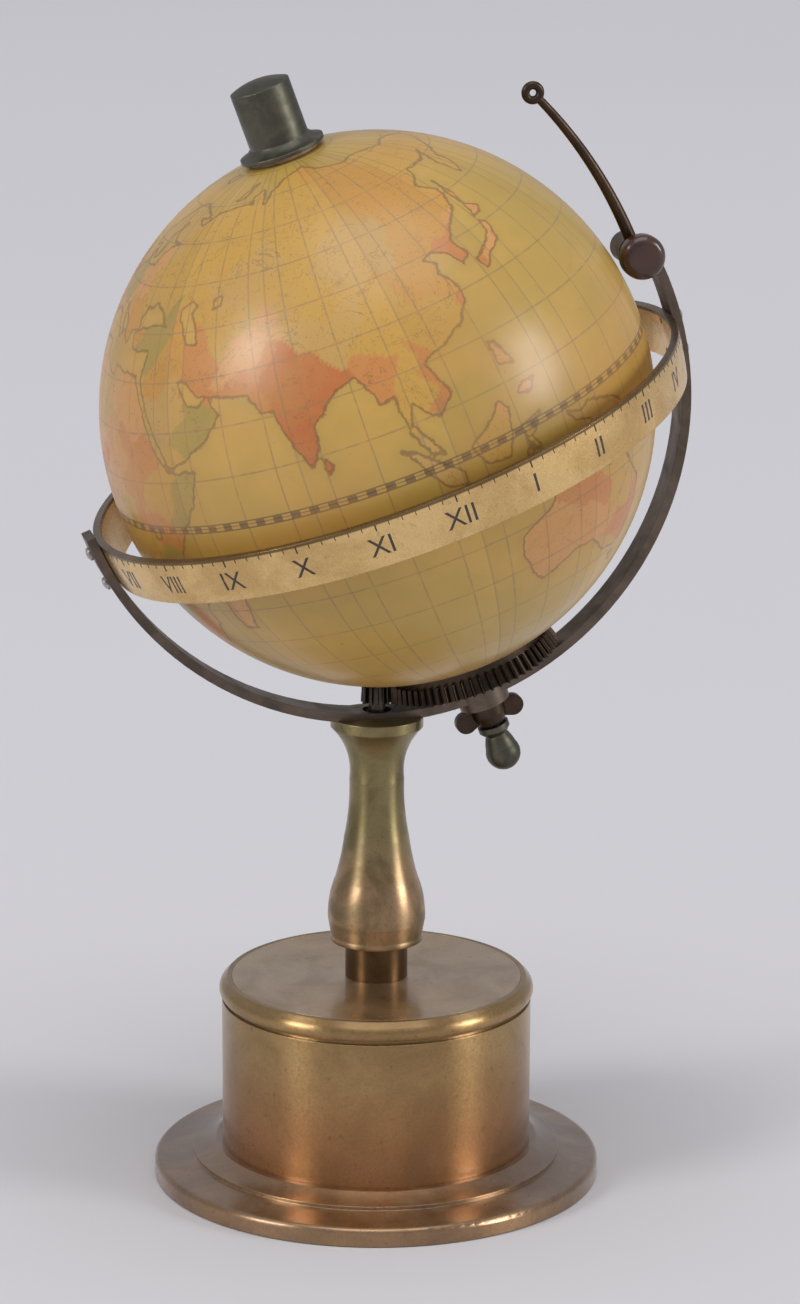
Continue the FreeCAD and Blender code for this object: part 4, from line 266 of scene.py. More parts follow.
class Graph:
    """Short calls for making one node tree."""

    def __init__(self, tree: bpy.types.NodeTree) -> None:
        """Keeps the tree that the calls add to."""
        self.tree = tree

    def node(self, kind: str, **settings: Any) -> bpy.types.Node:
        """Adds a node.

        Args:
            kind: the node's class name.
            settings: properties of the node.

        Returns:
            The new node.
        """
        made = self.tree.nodes.new(kind)
        for key, value in settings.items():
            setattr(made, key, value)
        return made

    def feed(self, socket: Socket, value: Any) -> None:
        """Links a socket, or sets it to a plain value.

        Args:
            socket: the input.
            value: another node's output, a number or a tuple, or None to leave it alone.
        """
        if isinstance(value, Socket):
            self.tree.links.new(value, socket)
        elif value is not None:
            if socket.type == "RGBA" and len(value) == 3:
                value = (*value, 1.0)
            socket.default_value = value

    def math(self, operation: str, a: Any, b: Any = None, clamp: bool = False) -> Socket:
        """Adds a Math node.

        Args:
            operation: the node's operation.
            a: first value.
            b: second value.
            clamp: keep the result between 0 and 1.

        Returns:
            The result.
        """
        made = self.node("ShaderNodeMath", operation=operation, use_clamp=clamp)
        for socket, value in zip(made.inputs, (a, b)):
            self.feed(socket, value)
        return made.outputs[0]

    def times(self, a: Any, b: Any, clamp: bool = False) -> Socket:
        """Multiplies two numbers."""
        return self.math("MULTIPLY", a, b, clamp)

    def vector(self, operation: str, a: Any, b: Any = None) -> Socket:
        """Adds a Vector Math node.

        Args:
            operation: the node's operation.
            a: first vector.
            b: second vector.

        Returns:
            The resulting vector, or the number that a dot product gives.
        """
        made = self.node("ShaderNodeVectorMath", operation=operation)
        for socket, value in zip(made.inputs, (a, b)):
            self.feed(socket, value)
        return made.outputs["Value" if operation == "DOT_PRODUCT" else "Vector"]

    def parts(self, vector: Socket) -> Sequence[Socket]:
        """Splits a vector into its X, Y and Z."""
        made = self.node("ShaderNodeSeparateXYZ")
        self.feed(made.inputs[0], vector)
        return made.outputs

    def step(self, value: Any, low: float, high: float, to_low: float = 0.0, to_high: float = 1.0,
             smooth: bool = True) -> Socket:
        """Maps a range to another, clamped.

        Args:
            value: the value.
            low: value that gives to_low.
            high: value that gives to_high.
            to_low: result at low.
            to_high: result at high.
            smooth: ease in and out.

        Returns:
            The mapped value.
        """
        made = self.node("ShaderNodeMapRange", interpolation_type="SMOOTHSTEP" if smooth else "LINEAR")
        for name, given in (("Value", value), ("From Min", low), ("From Max", high), ("To Min", to_low),
                            ("To Max", to_high)):
            self.feed(made.inputs[name], given)
        return made.outputs[0]

    def mix(self, share: Any, a: Any, b: Any, blend: str = "MIX") -> Socket:
        """Mixes two colours.

        Args:
            share: how much of b.
            a: first colour.
            b: second colour.
            blend: blend type.

        Returns:
            The mixed colour.
        """
        made = self.node("ShaderNodeMix", data_type="RGBA", blend_type=blend)
        for index, value in ((0, share), (6, a), (7, b)):
            self.feed(made.inputs[index], value)
        return made.outputs[2]

    def blend(self, share: Any, a: Any, b: Any) -> Socket:
        """Mixes two numbers.

        Args:
            share: how much of b.
            a: first number.
            b: second number.

        Returns:
            The mixed number.
        """
        made = self.node("ShaderNodeMix", data_type="FLOAT")
        for index, value in ((0, share), (2, a), (3, b)):
            self.feed(made.inputs[index], value)
        return made.outputs[0]

    def shaded(self, colour: Any, shade: Socket) -> Socket:
        """Multiplies a colour by a number.

        Args:
            colour: the colour.
            shade: how bright it stays.

        Returns:
            The shaded colour.
        """
        grey = self.node("ShaderNodeCombineColor")
        for socket in grey.inputs:
            self.feed(socket, shade)
        return self.mix(1.0, colour, grey.outputs[0], "MULTIPLY")

    def noise(self, vector: Any, noise: Noise, scale: Any = None) -> Socket:
        """Adds a noise of mean one half.

        Args:
            vector: where it is read, in metres.
            noise: its pattern.
            scale: features per metre, where a socket gives them.

        Returns:
            The noise value.
        """
        made = self.node("ShaderNodeTexNoise", noise_dimensions="3D")
        scale = noise.scale if scale is None else scale
        for name, value in (("Vector", vector), ("Scale", scale), ("Detail", noise.detail),
                            ("Roughness", noise.roughness), ("Distortion", noise.distortion)):
            self.feed(made.inputs[name], value)
        return made.outputs[0]

    def patch(self, vector: Any, patch: Patch, scale: Any = None) -> Socket:
        """Adds a noise cut to patches.

        Args:
            vector: where it is read, in metres.
            patch: its pattern and levels.
            scale: features per metre, where a socket gives them.

        Returns:
            The mask of the patches.
        """
        cloud = self.noise(vector, patch, scale)
        return self.step(cloud, patch.low, patch.high, patch.to_low, patch.to_high, patch.smooth)

    def place(self) -> Socket:
        """Returns the piece's own coordinates, in metres."""
        return self.node("ShaderNodeTexCoord").outputs["Object"]

    def upright(self, centred: Socket, lean_deg: float) -> Socket:
        """Turns coordinates so that a lathe's leaning axis is Z.

        Args:
            centred: coordinates from a point of the axis.
            lean_deg: how far the axis leans toward -X.

        Returns:
            The coordinates in the lathe's frame.
        """
        turn = self.node("ShaderNodeVectorRotate", rotation_type="Y_AXIS")
        self.feed(turn.inputs["Vector"], centred)
        turn.inputs["Angle"].default_value = math.radians(lean_deg)
        return turn.outputs[0]

    def effect(self, effect: Effect, **values: Any) -> dict[str, Socket]:
        """Adds a shared group.

        Args:
            effect: which group.
            values: its inputs.

        Returns:
            The group's outputs, by name.
        """
        made = self.node("ShaderNodeGroup", node_tree=bpy.data.node_groups[effect.value])
        for name, value in values.items():
            self.feed(made.inputs[name], value)
        return dict(made.outputs.items())

    def relief(self, shader: bpy.types.Node, height: Any, strength: float, depth: float,
               normal: Any = None) -> None:
        """Gives the surface a fine relief.

        Args:
            shader: the surface shader.
            height: the relief's height, about 0 to 1.
            strength: how strongly it shows.
            depth: what a height of 1 measures, in metres.
            normal: the normal that it is added to, where it isn't the surface's own.
        """
        bump = self.node("ShaderNodeBump")
        for name, value in (("Strength", strength), ("Distance", depth), ("Height", height),
                            ("Normal", normal)):
            self.feed(bump.inputs[name], value)
        self.feed(shader.inputs["Normal"], bump.outputs[0])


@dataclass(frozen=True)
class Effects:
    """Builds the shader groups that more than one finish uses."""

    edge_samples: int = 4
    edge_agreement: Levels = (0.995, 0.85)
    edge_breakup: Patch = Patch(700.0, 4.0, 0.65, low=0.35, high=0.62)
    lathe_lines: Noise = Noise(4200.0, 3.0, 0.7)
    stains: Patch = Patch(45.0, 5.0, 0.62, 0.6, low=0.36, high=0.66)
    spots: Patch = Patch(630.0, 4.0, 0.6, low=0.60, high=0.72)
    spots_finer: float = 14.0
    mottle: Noise = Noise(1800.0, 4.0, 0.7)
    mottle_finer: float = 40.0
    dust_facing: Levels = (0.45, 0.98)
    dust_patches: Patch = Patch(160.0, 5.0, 0.7, low=0.35, high=0.7)
    fibre: Noise = Noise(500.0, 5.0, 0.65, 0.4)
    fibre_stretch: Vec = (1.0, 1.0, 0.08)
    line_edge: Levels = (1.5, 0.6)
    least_narrowing: float = 0.05
    polar_cut_deg: Levels = (80.6, 80.0)
    scale_band_deg: Levels = (0.75, 0.65)
    scale_line_deg: float = 0.14
    tick_period_deg: float = 4.0
    tick_half_deg: float = 1.0
    gore_deg: float = 30.0
    seam_deg: float = 0.2

    def build(self) -> None:
        """Makes every group once."""
        self.edge_wear()
        self.turned_lines()
        self.tarnish()
        self.dust()
        self.grain()
        self.graticule()

    def start(self, effect: Effect, inputs: dict[str, Any],
              outputs: Sequence[str]) -> tuple[Graph, dict[str, Socket], dict[str, Socket]]:
        """Starts a group with its sockets.

        Args:
            effect: the group's name.
            inputs: name to default value, where a tuple makes a vector.
            outputs: names, where one called Normal is a vector and the rest are numbers.

        Returns:
            The graph, and its inputs and outputs by name.
        """
        tree = bpy.data.node_groups.new(effect.value, "ShaderNodeTree")
        for name, value in inputs.items():
            kind = "NodeSocketVector" if isinstance(value, tuple) else "NodeSocketFloat"
            tree.interface.new_socket(name=name, in_out="INPUT", socket_type=kind).default_value = value
        for name in outputs:
            kind = "NodeSocketVector" if name == "Normal" else "NodeSocketFloat"
            tree.interface.new_socket(name=name, in_out="OUTPUT", socket_type=kind)
        graph = Graph(tree)
        given, out = graph.node("NodeGroupInput").outputs, graph.node("NodeGroupOutput").inputs
        return graph, dict(given.items()), dict(out.items())

    def edge_wear(self) -> None:
        """Edge wear: a broken mask along sharp edges, and a normal that rounds them."""
        graph, given, out = self.start(
            Effect.EDGE_WEAR, {"Vector": ORIGIN, "Width": 0.4 * MM, "Breakup": self.edge_breakup.scale},
            ("Mask", "Normal"))
        rounded = graph.node("ShaderNodeBevel", samples=self.edge_samples)
        graph.feed(rounded.inputs["Radius"], given["Width"])
        plain = graph.node("ShaderNodeNewGeometry").outputs["Normal"]
        agree = graph.vector("DOT_PRODUCT", rounded.outputs[0], plain)
        edge = graph.step(agree, *self.edge_agreement)
        broken = graph.patch(given["Vector"], self.edge_breakup, given["Breakup"])
        graph.feed(out["Mask"], graph.times(edge, broken, clamp=True))
        graph.feed(out["Normal"], rounded.outputs[0])

    def turned_lines(self) -> None:
        """Lathe lines: fine rings round the vector's Z axis, as a height."""
        graph, given, out = self.start(
            Effect.TURNED_LINES, {"Vector": ORIGIN, "Fineness": self.lathe_lines.scale}, ("Height",))
        x, y, z = graph.parts(given["Vector"])
        radius = graph.math("SQRT", graph.math("ADD", graph.times(x, x), graph.times(y, y)))
        ring = graph.node("ShaderNodeCombineXYZ")
        graph.feed(ring.inputs[0], radius)
        graph.feed(ring.inputs[2], z)
        graph.feed(out["Height"], graph.noise(ring.outputs[0], self.lathe_lines, given["Fineness"]))

    def tarnish(self) -> None:
        """Tarnish: broad cloudy stains, small spots and fine mottle."""
        graph, given, out = self.start(
            Effect.TARNISH, {"Vector": ORIGIN, "Breadth": self.stains.scale}, ("Stain", "Spots", "Mottle"))
        place, breadth = given["Vector"], given["Breadth"]
        graph.feed(out["Stain"], graph.patch(place, self.stains, breadth))
        graph.feed(out["Spots"], graph.patch(place, self.spots, graph.times(breadth, self.spots_finer)))
        graph.feed(out["Mottle"], graph.noise(place, self.mottle, graph.times(breadth, self.mottle_finer)))

    def dust(self) -> None:
        """Dust: a mask on faces that look up, thinner in patches."""
        graph, given, out = self.start(Effect.DUST, {"Vector": ORIGIN, "Amount": 0.3}, ("Mask",))
        facing = graph.parts(graph.node("ShaderNodeTexCoord").outputs["Normal"])
        laid = graph.times(graph.step(facing[2], *self.dust_facing),
                           graph.patch(given["Vector"], self.dust_patches))
        graph.feed(out["Mask"], graph.times(laid, given["Amount"], clamp=True))

    def grain(self) -> None:
        """Grain: long fibres along the vector's Z axis."""
        graph, given, out = self.start(
            Effect.GRAIN, {"Vector": ORIGIN, "Fineness": self.fibre.scale}, ("Fibre",))
        drawn = graph.vector("MULTIPLY", given["Vector"], self.fibre_stretch)
        graph.feed(out["Fibre"], graph.noise(drawn, self.fibre, given["Fineness"]))

    def graticule(self) -> None:
        """Map lines round the vector's Z axis: degrees, the equator's scale, and the gores' joins."""
        graph, given, out = self.start(
            Effect.GRATICULE, {"Vector": ORIGIN, "Spacing": 10.0, "Width": 0.16},
            ("Lines", "Scale", "Seams", "Gore"))
        x, y, z = graph.parts(graph.vector("NORMALIZE", given["Vector"]))
        degrees = math.degrees(1.0)
        latitude = graph.times(graph.math("ARCSINE", z), degrees)
        longitude = graph.times(graph.math("ARCTAN2", y, x), degrees)
        level = graph.math("SQRT", graph.math("SUBTRACT", 1.0, graph.times(z, z)))
        narrow = graph.math("MAXIMUM", level, self.least_narrowing)

        def distance(value: Any, spacing: Any) -> Socket:
            """Degrees from the nearest whole multiple of the spacing."""
            share = graph.math("ADD", graph.math("DIVIDE", value, spacing), 0.5)
            part = graph.math("SUBTRACT", graph.math("FRACT", share), 0.5)
            return graph.times(graph.math("ABSOLUTE", part), spacing)

        def line(away: Any, width: Any) -> Socket:
            """One where the distance is less than the width, with a soft edge."""
            return graph.step(graph.math("DIVIDE", away, width), *self.line_edge)

        spacing, width = given["Spacing"], given["Width"]
        from_equator = graph.math("ABSOLUTE", latitude)
        meridians = graph.times(line(graph.times(distance(longitude, spacing), narrow), width),
                                graph.step(from_equator, *self.polar_cut_deg))
        graph.feed(out["Lines"], graph.math("MAXIMUM", meridians, line(distance(latitude, spacing), width)))

        band = graph.step(from_equator, *self.scale_band_deg)
        shifted = graph.math("ADD", longitude, self.tick_half_deg)
        tick = graph.math("LESS_THAN", distance(shifted, self.tick_period_deg), self.tick_half_deg)
        off_edge = graph.math("ABSOLUTE", graph.math("SUBTRACT", from_equator, self.scale_band_deg[0]))
        edges = line(off_edge, self.scale_line_deg)
        graph.feed(out["Scale"], graph.math("MAXIMUM", graph.times(band, tick), edges))

        seams = graph.math("ADD", longitude, self.gore_deg / 2)
        seam_off = graph.times(distance(seams, self.gore_deg), narrow)
        graph.feed(out["Seams"], line(seam_off, self.seam_deg))
        shade = graph.node("ShaderNodeTexWhiteNoise", noise_dimensions="1D")
        graph.feed(shade.inputs["W"], graph.math("FLOOR", graph.math("DIVIDE", seams, self.gore_deg)))
        graph.feed(out["Gore"], shade.outputs["Value"])


@dataclass(frozen=True)
class Metal:
    """A metal finish: its clean colour, what it tarnishes to, how it was worked, and an optional band of
    painted shade.
    """

    name: str
    base: Colour
    tarnished: Colour
    worn: Colour
    rough: float = 0.32
    rough_spread: float = 0.18
    stain_share: float = 0.7
    spot_share: float = 0.35
    spot_shade: float = 0.45
    breadth: float = 45.0
    mottle: Levels = (0.3, 0.7)
    mottle_shade: Levels = (0.86, 1.1)
    mottle_rough: Levels = (-0.05, 0.05)
    mottle_relief: float = 0.35
    relief_strength: float = 0.35
    relief_depth: float = 0.08 * MM
    edge_width: float = 0.4 * MM
    wear_share: float = 0.6
    turned: float = 0.0
    dust_share: float = 0.12
    dust: Colour = (0.36, 0.33, 0.29)
    dust_rough: float = 0.8
    lean_deg: float = 0.0
    coat: float = 0.0
    coat_rough: float = 0.14
    low_base: Colour | None = None
    low_level: float = 0.0
    high_level: float = 1.0
    # Painted shade: a dark band above a level of the lathe's axis, where a part's top edge sits in shade.
    painted_shade_above: float | None = None
    painted_shade_colour: Colour = (0.06, 0.035, 0.018)
    painted_shade_share: float = 0.8
    painted_shade_below: float = 0.25 * MM
    painted_shade_full: float = 0.1 * MM
    brushed: float = 0.0
    across_the_lines: float = 0.25

    def material(self) -> bpy.types.Material:
        """Builds the finish's material.

        Returns:
            The material.
        """
        made, graph, shader = new_material(self.name)
        place = graph.place()
        stains = graph.effect(Effect.TARNISH, Vector=place, Breadth=self.breadth)
        wear = graph.effect(Effect.EDGE_WEAR, Vector=place, Width=self.edge_width)
        dust = graph.effect(Effect.DUST, Vector=place, Amount=self.dust_share)["Mask"]
        axis_point = (0.0, 0.0, Globe.centre_height) if self.lean_deg else ORIGIN
        centred = graph.vector("SUBTRACT", place, axis_point)
        upright = graph.upright(centred, self.lean_deg) if self.lean_deg else centred
        stained = graph.times(stains["Stain"], self.stain_share)
        colour = graph.mix(stained, self.clean(graph, upright), self.tarnished)
        colour = graph.shaded(colour, graph.step(stains["Mottle"], *self.mottle, *self.mottle_shade,
                                                 smooth=False))
        dark = tuple(self.spot_shade * part for part in self.tarnished)
        colour = graph.mix(graph.times(stains["Spots"], self.spot_share), colour, dark)
        colour = graph.mix(graph.times(wear["Mask"], self.wear_share), colour, self.worn)
        # Painted shade: darkens everything above a level of the lathe's axis, standing in for the shade in
        # the gap next to the globe.
        if self.painted_shade_above is not None:
            painted_shade_mask = graph.step(graph.parts(upright)[2], self.painted_shade_above - self.painted_shade_below,
                                  self.painted_shade_above + self.painted_shade_full)
            colour = graph.mix(graph.times(painted_shade_mask, self.painted_shade_share), colour, self.painted_shade_colour)
        graph.feed(shader.inputs["Base Color"], graph.mix(dust, colour, self.dust))
        rough = graph.blend(stained, self.rough, self.rough + self.rough_spread)
        fine = graph.step(stains["Mottle"], *self.mottle, *self.mottle_rough, smooth=False)
        rough = graph.blend(dust, graph.math("ADD", rough, fine), self.dust_rough)
        graph.feed(shader.inputs["Roughness"], rough)
        graph.feed(shader.inputs["Metallic"], graph.math("SUBTRACT", 1.0, dust, clamp=True))
        shader.inputs["Coat Weight"].default_value = self.coat
        shader.inputs["Coat Roughness"].default_value = self.coat_rough
        height = graph.times(stains["Mottle"], self.mottle_relief)
        if self.turned:
            lines = graph.effect(Effect.TURNED_LINES, Vector=upright)["Height"]
            height = graph.math("ADD", height, graph.times(lines, self.turned))
        graph.relief(shader, height, self.relief_strength, self.relief_depth, wear["Normal"])
        if self.brushed:
            self.brush(graph, shader, centred)
        return made

    def clean(self, graph: Graph, upright: Socket) -> Any:
        """Gives the clean metal's colour, which may warm toward the foot.

        Args:
            graph: the material's graph.
            upright: coordinates in the lathe's frame.

        Returns:
            A colour, or a socket of one.
        """
        if self.low_base is None:
            return self.base
        low = graph.step(graph.parts(upright)[2], self.high_level, self.low_level)
        return graph.mix(low, self.base, self.low_base)

    def brush(self, graph: Graph, shader: bpy.types.Node, centred: Socket) -> None:
        """Draws reflections out across the lathe lines, which run round the axis.

        Args:
            graph: the material's graph.
            shader: the surface shader.
            centred: coordinates from a point of the lathe's axis.
        """
        lean = math.radians(self.lean_deg)
        along = graph.vector("CROSS_PRODUCT", (-math.sin(lean), 0.0, math.cos(lean)), centred)
        turned = graph.node("ShaderNodeVectorTransform", vector_type="VECTOR", convert_from="OBJECT",
                            convert_to="WORLD")
        graph.feed(turned.inputs[0], along)
        graph.feed(shader.inputs["Tangent"], turned.outputs[0])
        shader.inputs["Anisotropic"].default_value = self.brushed
        shader.inputs["Anisotropic Rotation"].default_value = self.across_the_lines


@dataclass(frozen=True)
class Lacquer:
    """A glossy dark lacquer or ink, chipped at its edges."""

    name: str
    base: Colour
    worn: Colour
    rough: float = 0.3
    breadth: float = 220.0
    deep_shade: float = 0.6
    edge_width: float = 0.3 * MM
    edge_breakup: float = 1500.0
    wear_share: float = 0.4
    mottle: Levels = (0.3, 0.7)
    smoother: float = 0.06
    rougher: float = 0.1
    coat: float = 0.4
    coat_rough: float = 0.12

    def material(self) -> bpy.types.Material:
        """Builds the finish's material.

        Returns:
            The material.
        """
        made, graph, shader = new_material(self.name)
        place = graph.place()
        stains = graph.effect(Effect.TARNISH, Vector=place, Breadth=self.breadth)
        wear = graph.effect(Effect.EDGE_WEAR, Vector=place, Width=self.edge_width, Breakup=self.edge_breakup)
        deep = tuple(self.deep_shade * part for part in self.base)
        colour = graph.mix(stains["Stain"], self.base, deep)
        colour = graph.mix(graph.times(wear["Mask"], self.wear_share), colour, self.worn)
        graph.feed(shader.inputs["Base Color"], colour)
        rough = graph.step(stains["Mottle"], *self.mottle, self.rough - self.smoother,
                           self.rough + self.rougher, smooth=False)
        graph.feed(shader.inputs["Roughness"], rough)
        shader.inputs["Coat Weight"].default_value = self.coat
        shader.inputs["Coat Roughness"].default_value = self.coat_rough
        graph.feed(shader.inputs["Normal"], wear["Normal"])
        return made


@dataclass(frozen=True)
class Timber:
    """A plain turned wood."""

    name: str
    light: Colour
    dark: Colour
    fineness: float = 420.0
    colour_levels: Levels = (0.3, 0.7)
    rough_levels: Levels = (0.2, 0.8)
    rough: Levels = (0.55, 0.75)
    relief_strength: float = 1.0
    relief_depth: float = 0.1 * MM

    def material(self) -> bpy.types.Material:
        """Builds the finish's material.

        Returns:
            The material.
        """
        made, graph, shader = new_material(self.name)
        fibre = graph.effect(Effect.GRAIN, Vector=graph.place(), Fineness=self.fineness)["Fibre"]
        share = graph.step(fibre, *self.colour_levels)
        graph.feed(shader.inputs["Base Color"], graph.mix(share, self.light, self.dark))
        graph.feed(shader.inputs["Roughness"], graph.step(fibre, *self.rough_levels, *self.rough))
        graph.relief(shader, fibre, self.relief_strength, self.relief_depth)
        return made


@dataclass(frozen=True)
class MapPaper:
    """The globe's printed gores under yellowed varnish."""

    name: str = "map_paper"
    sea: Colour = (0.56, 0.335, 0.075)
    deep_sea: Colour = (0.45, 0.295, 0.06)
    shore_sea: Colour = (0.42, 0.25, 0.055)
    faded_land: Colour = (0.52, 0.31, 0.075)
    ink: Colour = (0.10, 0.055, 0.025)
    line: Colour = (0.26, 0.17, 0.075)
    amber_stain: Colour = (0.50, 0.25, 0.06)
    grey_stain: Colour = (0.19, 0.15, 0.09)
    bare_plaster: Colour = (0.66, 0.60, 0.48)

    # Printing: levels are degrees from the coast, positive on land.
    coast_wander: Patch = Patch(260.0, 6.0, 0.7, low=0.25, high=0.75, to_low=-0.9, to_high=0.9, smooth=False)
    wander_share: float = 0.75
    land_edge: Levels = (-0.12, 0.12)
    outline_edge: Levels = (0.42, 0.12)
    outline_share: float = 0.55
    halo_reach: Levels = (-2.6, 0.0)
    halo_share: float = 0.28
    sea_depths: Patch = Patch(24.0, 4.0, 0.6, low=0.35, high=0.65)
    wash_left: Patch = Patch(75.0, 4.0, 0.6, to_low=0.72, to_high=1.0)
    wash_share: float = 0.92
    ink_left: Patch = Patch(420.0, 3.0, 0.6, low=0.3, high=0.6, to_low=0.25, to_high=0.62)
    scale_share: float = 0.7
    rivers: Noise = Noise(85.0, 5.0, 0.6, 0.8)
    river_width: Levels = (0.006, 0.001)
    river_coast: Levels = (0.3, 0.8)
    river_share: float = 0.4
    print_dots: Patch = Patch(1900.0, 2.0, 0.5, low=0.63, high=0.68)
    dot_coast: Levels = (0.5, 1.2)
    dot_share: float = 0.3

    # Age: stains, grime, flecks and chips, each with the share that it covers.
    gore_shade: Levels = (0.93, 1.05)
    ambers: Patch = Patch(17.0, 5.0, 0.62, 0.5, low=0.44, high=0.72)
    amber_share: float = 0.42
    grime: Patch = Patch(60.0, 6.0, 0.72, 0.7, low=0.56, high=0.78)
    grime_share: float = 0.36
    seam_share: float = 0.28
    flecks: Patch = Patch(620.0, 3.0, 0.6, low=0.70, high=0.76)
    fleck_share: float = 0.5
    chips: Patch = Patch(150.0, 6.0, 0.75, 0.4, low=0.735, high=0.755)
    chip_share: float = 0.7

    # Surface.
    cloudy: Patch = Patch(130.0, 5.0, 0.65, to_low=0.40, to_high=0.56)
    plaster_rough: float = 0.85
    specular: float = 0.35
    varnish: float = 0.6
    varnish_rough: float = 0.26
    paper: Noise = Noise(900.0, 5.0, 0.65)
    paper_relief: float = 0.5
    waves: Noise = Noise(110.0, 3.0, 0.5)
    wave_relief: float = 1.4
    seam_relief: float = 0.8
    chip_relief: float = 1.2
    relief_strength: float = 0.5
    relief_depth: float = 0.1 * MM

    def material(self) -> bpy.types.Material:
        """Builds the finish's material.

        Returns:
            The material.
        """
        made, graph, shader = new_material(self.name)
        place = graph.place()
        upright = graph.upright(graph.vector("SUBTRACT", place, (0.0, 0.0, Globe.centre_height)),
                                Globe.tilt_deg)
        turn = graph.node("ShaderNodeMapping", vector_type="POINT")
        graph.feed(turn.inputs["Vector"], upright)
        turn.inputs["Rotation"].default_value = (0.0, 0.0, -math.radians(Globe.prime_heading_deg))
        lines = graph.effect(Effect.GRATICULE, Vector=turn.outputs[0])
        chips = graph.patch(place, self.chips)
        colour = self.aged(graph, place, self.printed(graph, place, lines), lines, chips)
        graph.feed(shader.inputs["Base Color"], colour)
        graph.feed(shader.inputs["Roughness"],
                   graph.blend(chips, graph.patch(place, self.cloudy), self.plaster_rough))
        shader.inputs["Specular IOR Level"].default_value = self.specular
        graph.feed(shader.inputs["Coat Weight"], graph.blend(chips, self.varnish, 0.0))
        shader.inputs["Coat Roughness"].default_value = self.varnish_rough
        height = graph.math("ADD", graph.times(graph.noise(place, self.paper), self.paper_relief),
                            graph.times(graph.noise(place, self.waves), self.wave_relief))
        for mask, sunk in ((lines["Seams"], self.seam_relief), (chips, self.chip_relief)):
            height = graph.math("SUBTRACT", height, graph.times(mask, sunk))
        graph.relief(shader, height, self.relief_strength, self.relief_depth)
        return made

    def printed(self, graph: Graph, place: Socket, lines: dict[str, Socket]) -> Socket:
        """Prints sea, land, coast, degree lines and streams.

        Args:
            graph: the material's graph.
            place: the piece's own coordinates.
            lines: the map lines' masks.

        Returns:
            The printed colour.
        """
        shore = graph.node("ShaderNodeAttribute", attribute_name=Globe.shore_attribute).outputs["Fac"]
        wash = graph.node("ShaderNodeAttribute", attribute_name=Globe.wash_attribute).outputs["Color"]
        wander = graph.times(graph.patch(place, self.coast_wander), self.wander_share)
        coast = graph.math("ADD", shore, wander)
        sea = graph.mix(graph.patch(place, self.sea_depths), self.sea, self.deep_sea)
        halo = graph.times(graph.step(coast, *self.halo_reach), self.halo_share)
        sea = graph.mix(halo, sea, self.shore_sea)
        kept = graph.times(graph.patch(place, self.wash_left), self.wash_share)
        ground = graph.mix(kept, self.faded_land, wash)
        colour = graph.mix(graph.step(coast, *self.land_edge), sea, ground)
        outline = graph.step(graph.math("ABSOLUTE", coast), *self.outline_edge)
        colour = graph.mix(graph.times(outline, self.outline_share), colour, self.ink)
        colour = graph.mix(graph.times(lines["Lines"], graph.patch(place, self.ink_left)), colour, self.line)
        colour = graph.mix(graph.times(lines["Scale"], self.scale_share), colour, self.ink)
        off_river = graph.math("ABSOLUTE", graph.math("SUBTRACT", graph.noise(place, self.rivers), 0.5))
        streams = graph.times(graph.step(off_river, *self.river_width), graph.step(coast, *self.river_coast))
        colour = graph.mix(graph.times(streams, self.river_share), colour, self.ink)
        dots = graph.times(graph.patch(place, self.print_dots), graph.step(coast, *self.dot_coast))
        return graph.mix(graph.times(dots, self.dot_share), colour, self.ink)

    def aged(self, graph: Graph, place: Socket, colour: Socket, lines: dict[str, Socket],
             chips: Socket) -> Socket:
        """Ages the print.

        Args:
            graph: the material's graph.
            place: the piece's own coordinates.
            colour: the printed colour.
            lines: the map lines' masks.
            chips: where the paper is gone.

        Returns:
            The aged colour.
        """
        colour = graph.shaded(colour, graph.step(lines["Gore"], 0.0, 1.0, *self.gore_shade, smooth=False))
        for mask, share, stain in (
                (graph.patch(place, self.ambers), self.amber_share, self.amber_stain),
                (graph.patch(place, self.grime), self.grime_share, self.grey_stain),
                (lines["Seams"], self.seam_share, self.grey_stain),
                (graph.patch(place, self.flecks), self.fleck_share, self.grey_stain),
                (chips, self.chip_share, self.bare_plaster)):
            colour = graph.mix(graph.times(mask, share), colour, stain)
        return colour


def new_material(name: str) -> tuple[bpy.types.Material, Graph, bpy.types.Node]:
    """Makes an empty material with its surface shader.

    Args:
        name: the material's name.

    Returns:
        The material, its graph and the surface shader.
    """
    made = bpy.data.materials.new(name)
    made.use_nodes = True
    made.node_tree.nodes.clear()
    graph = Graph(made.node_tree)
    shader = graph.node("ShaderNodeBsdfPrincipled")
    out = graph.node("ShaderNodeOutputMaterial")
    graph.feed(out.inputs["Surface"], shader.outputs[0])
    return made, graph, shader


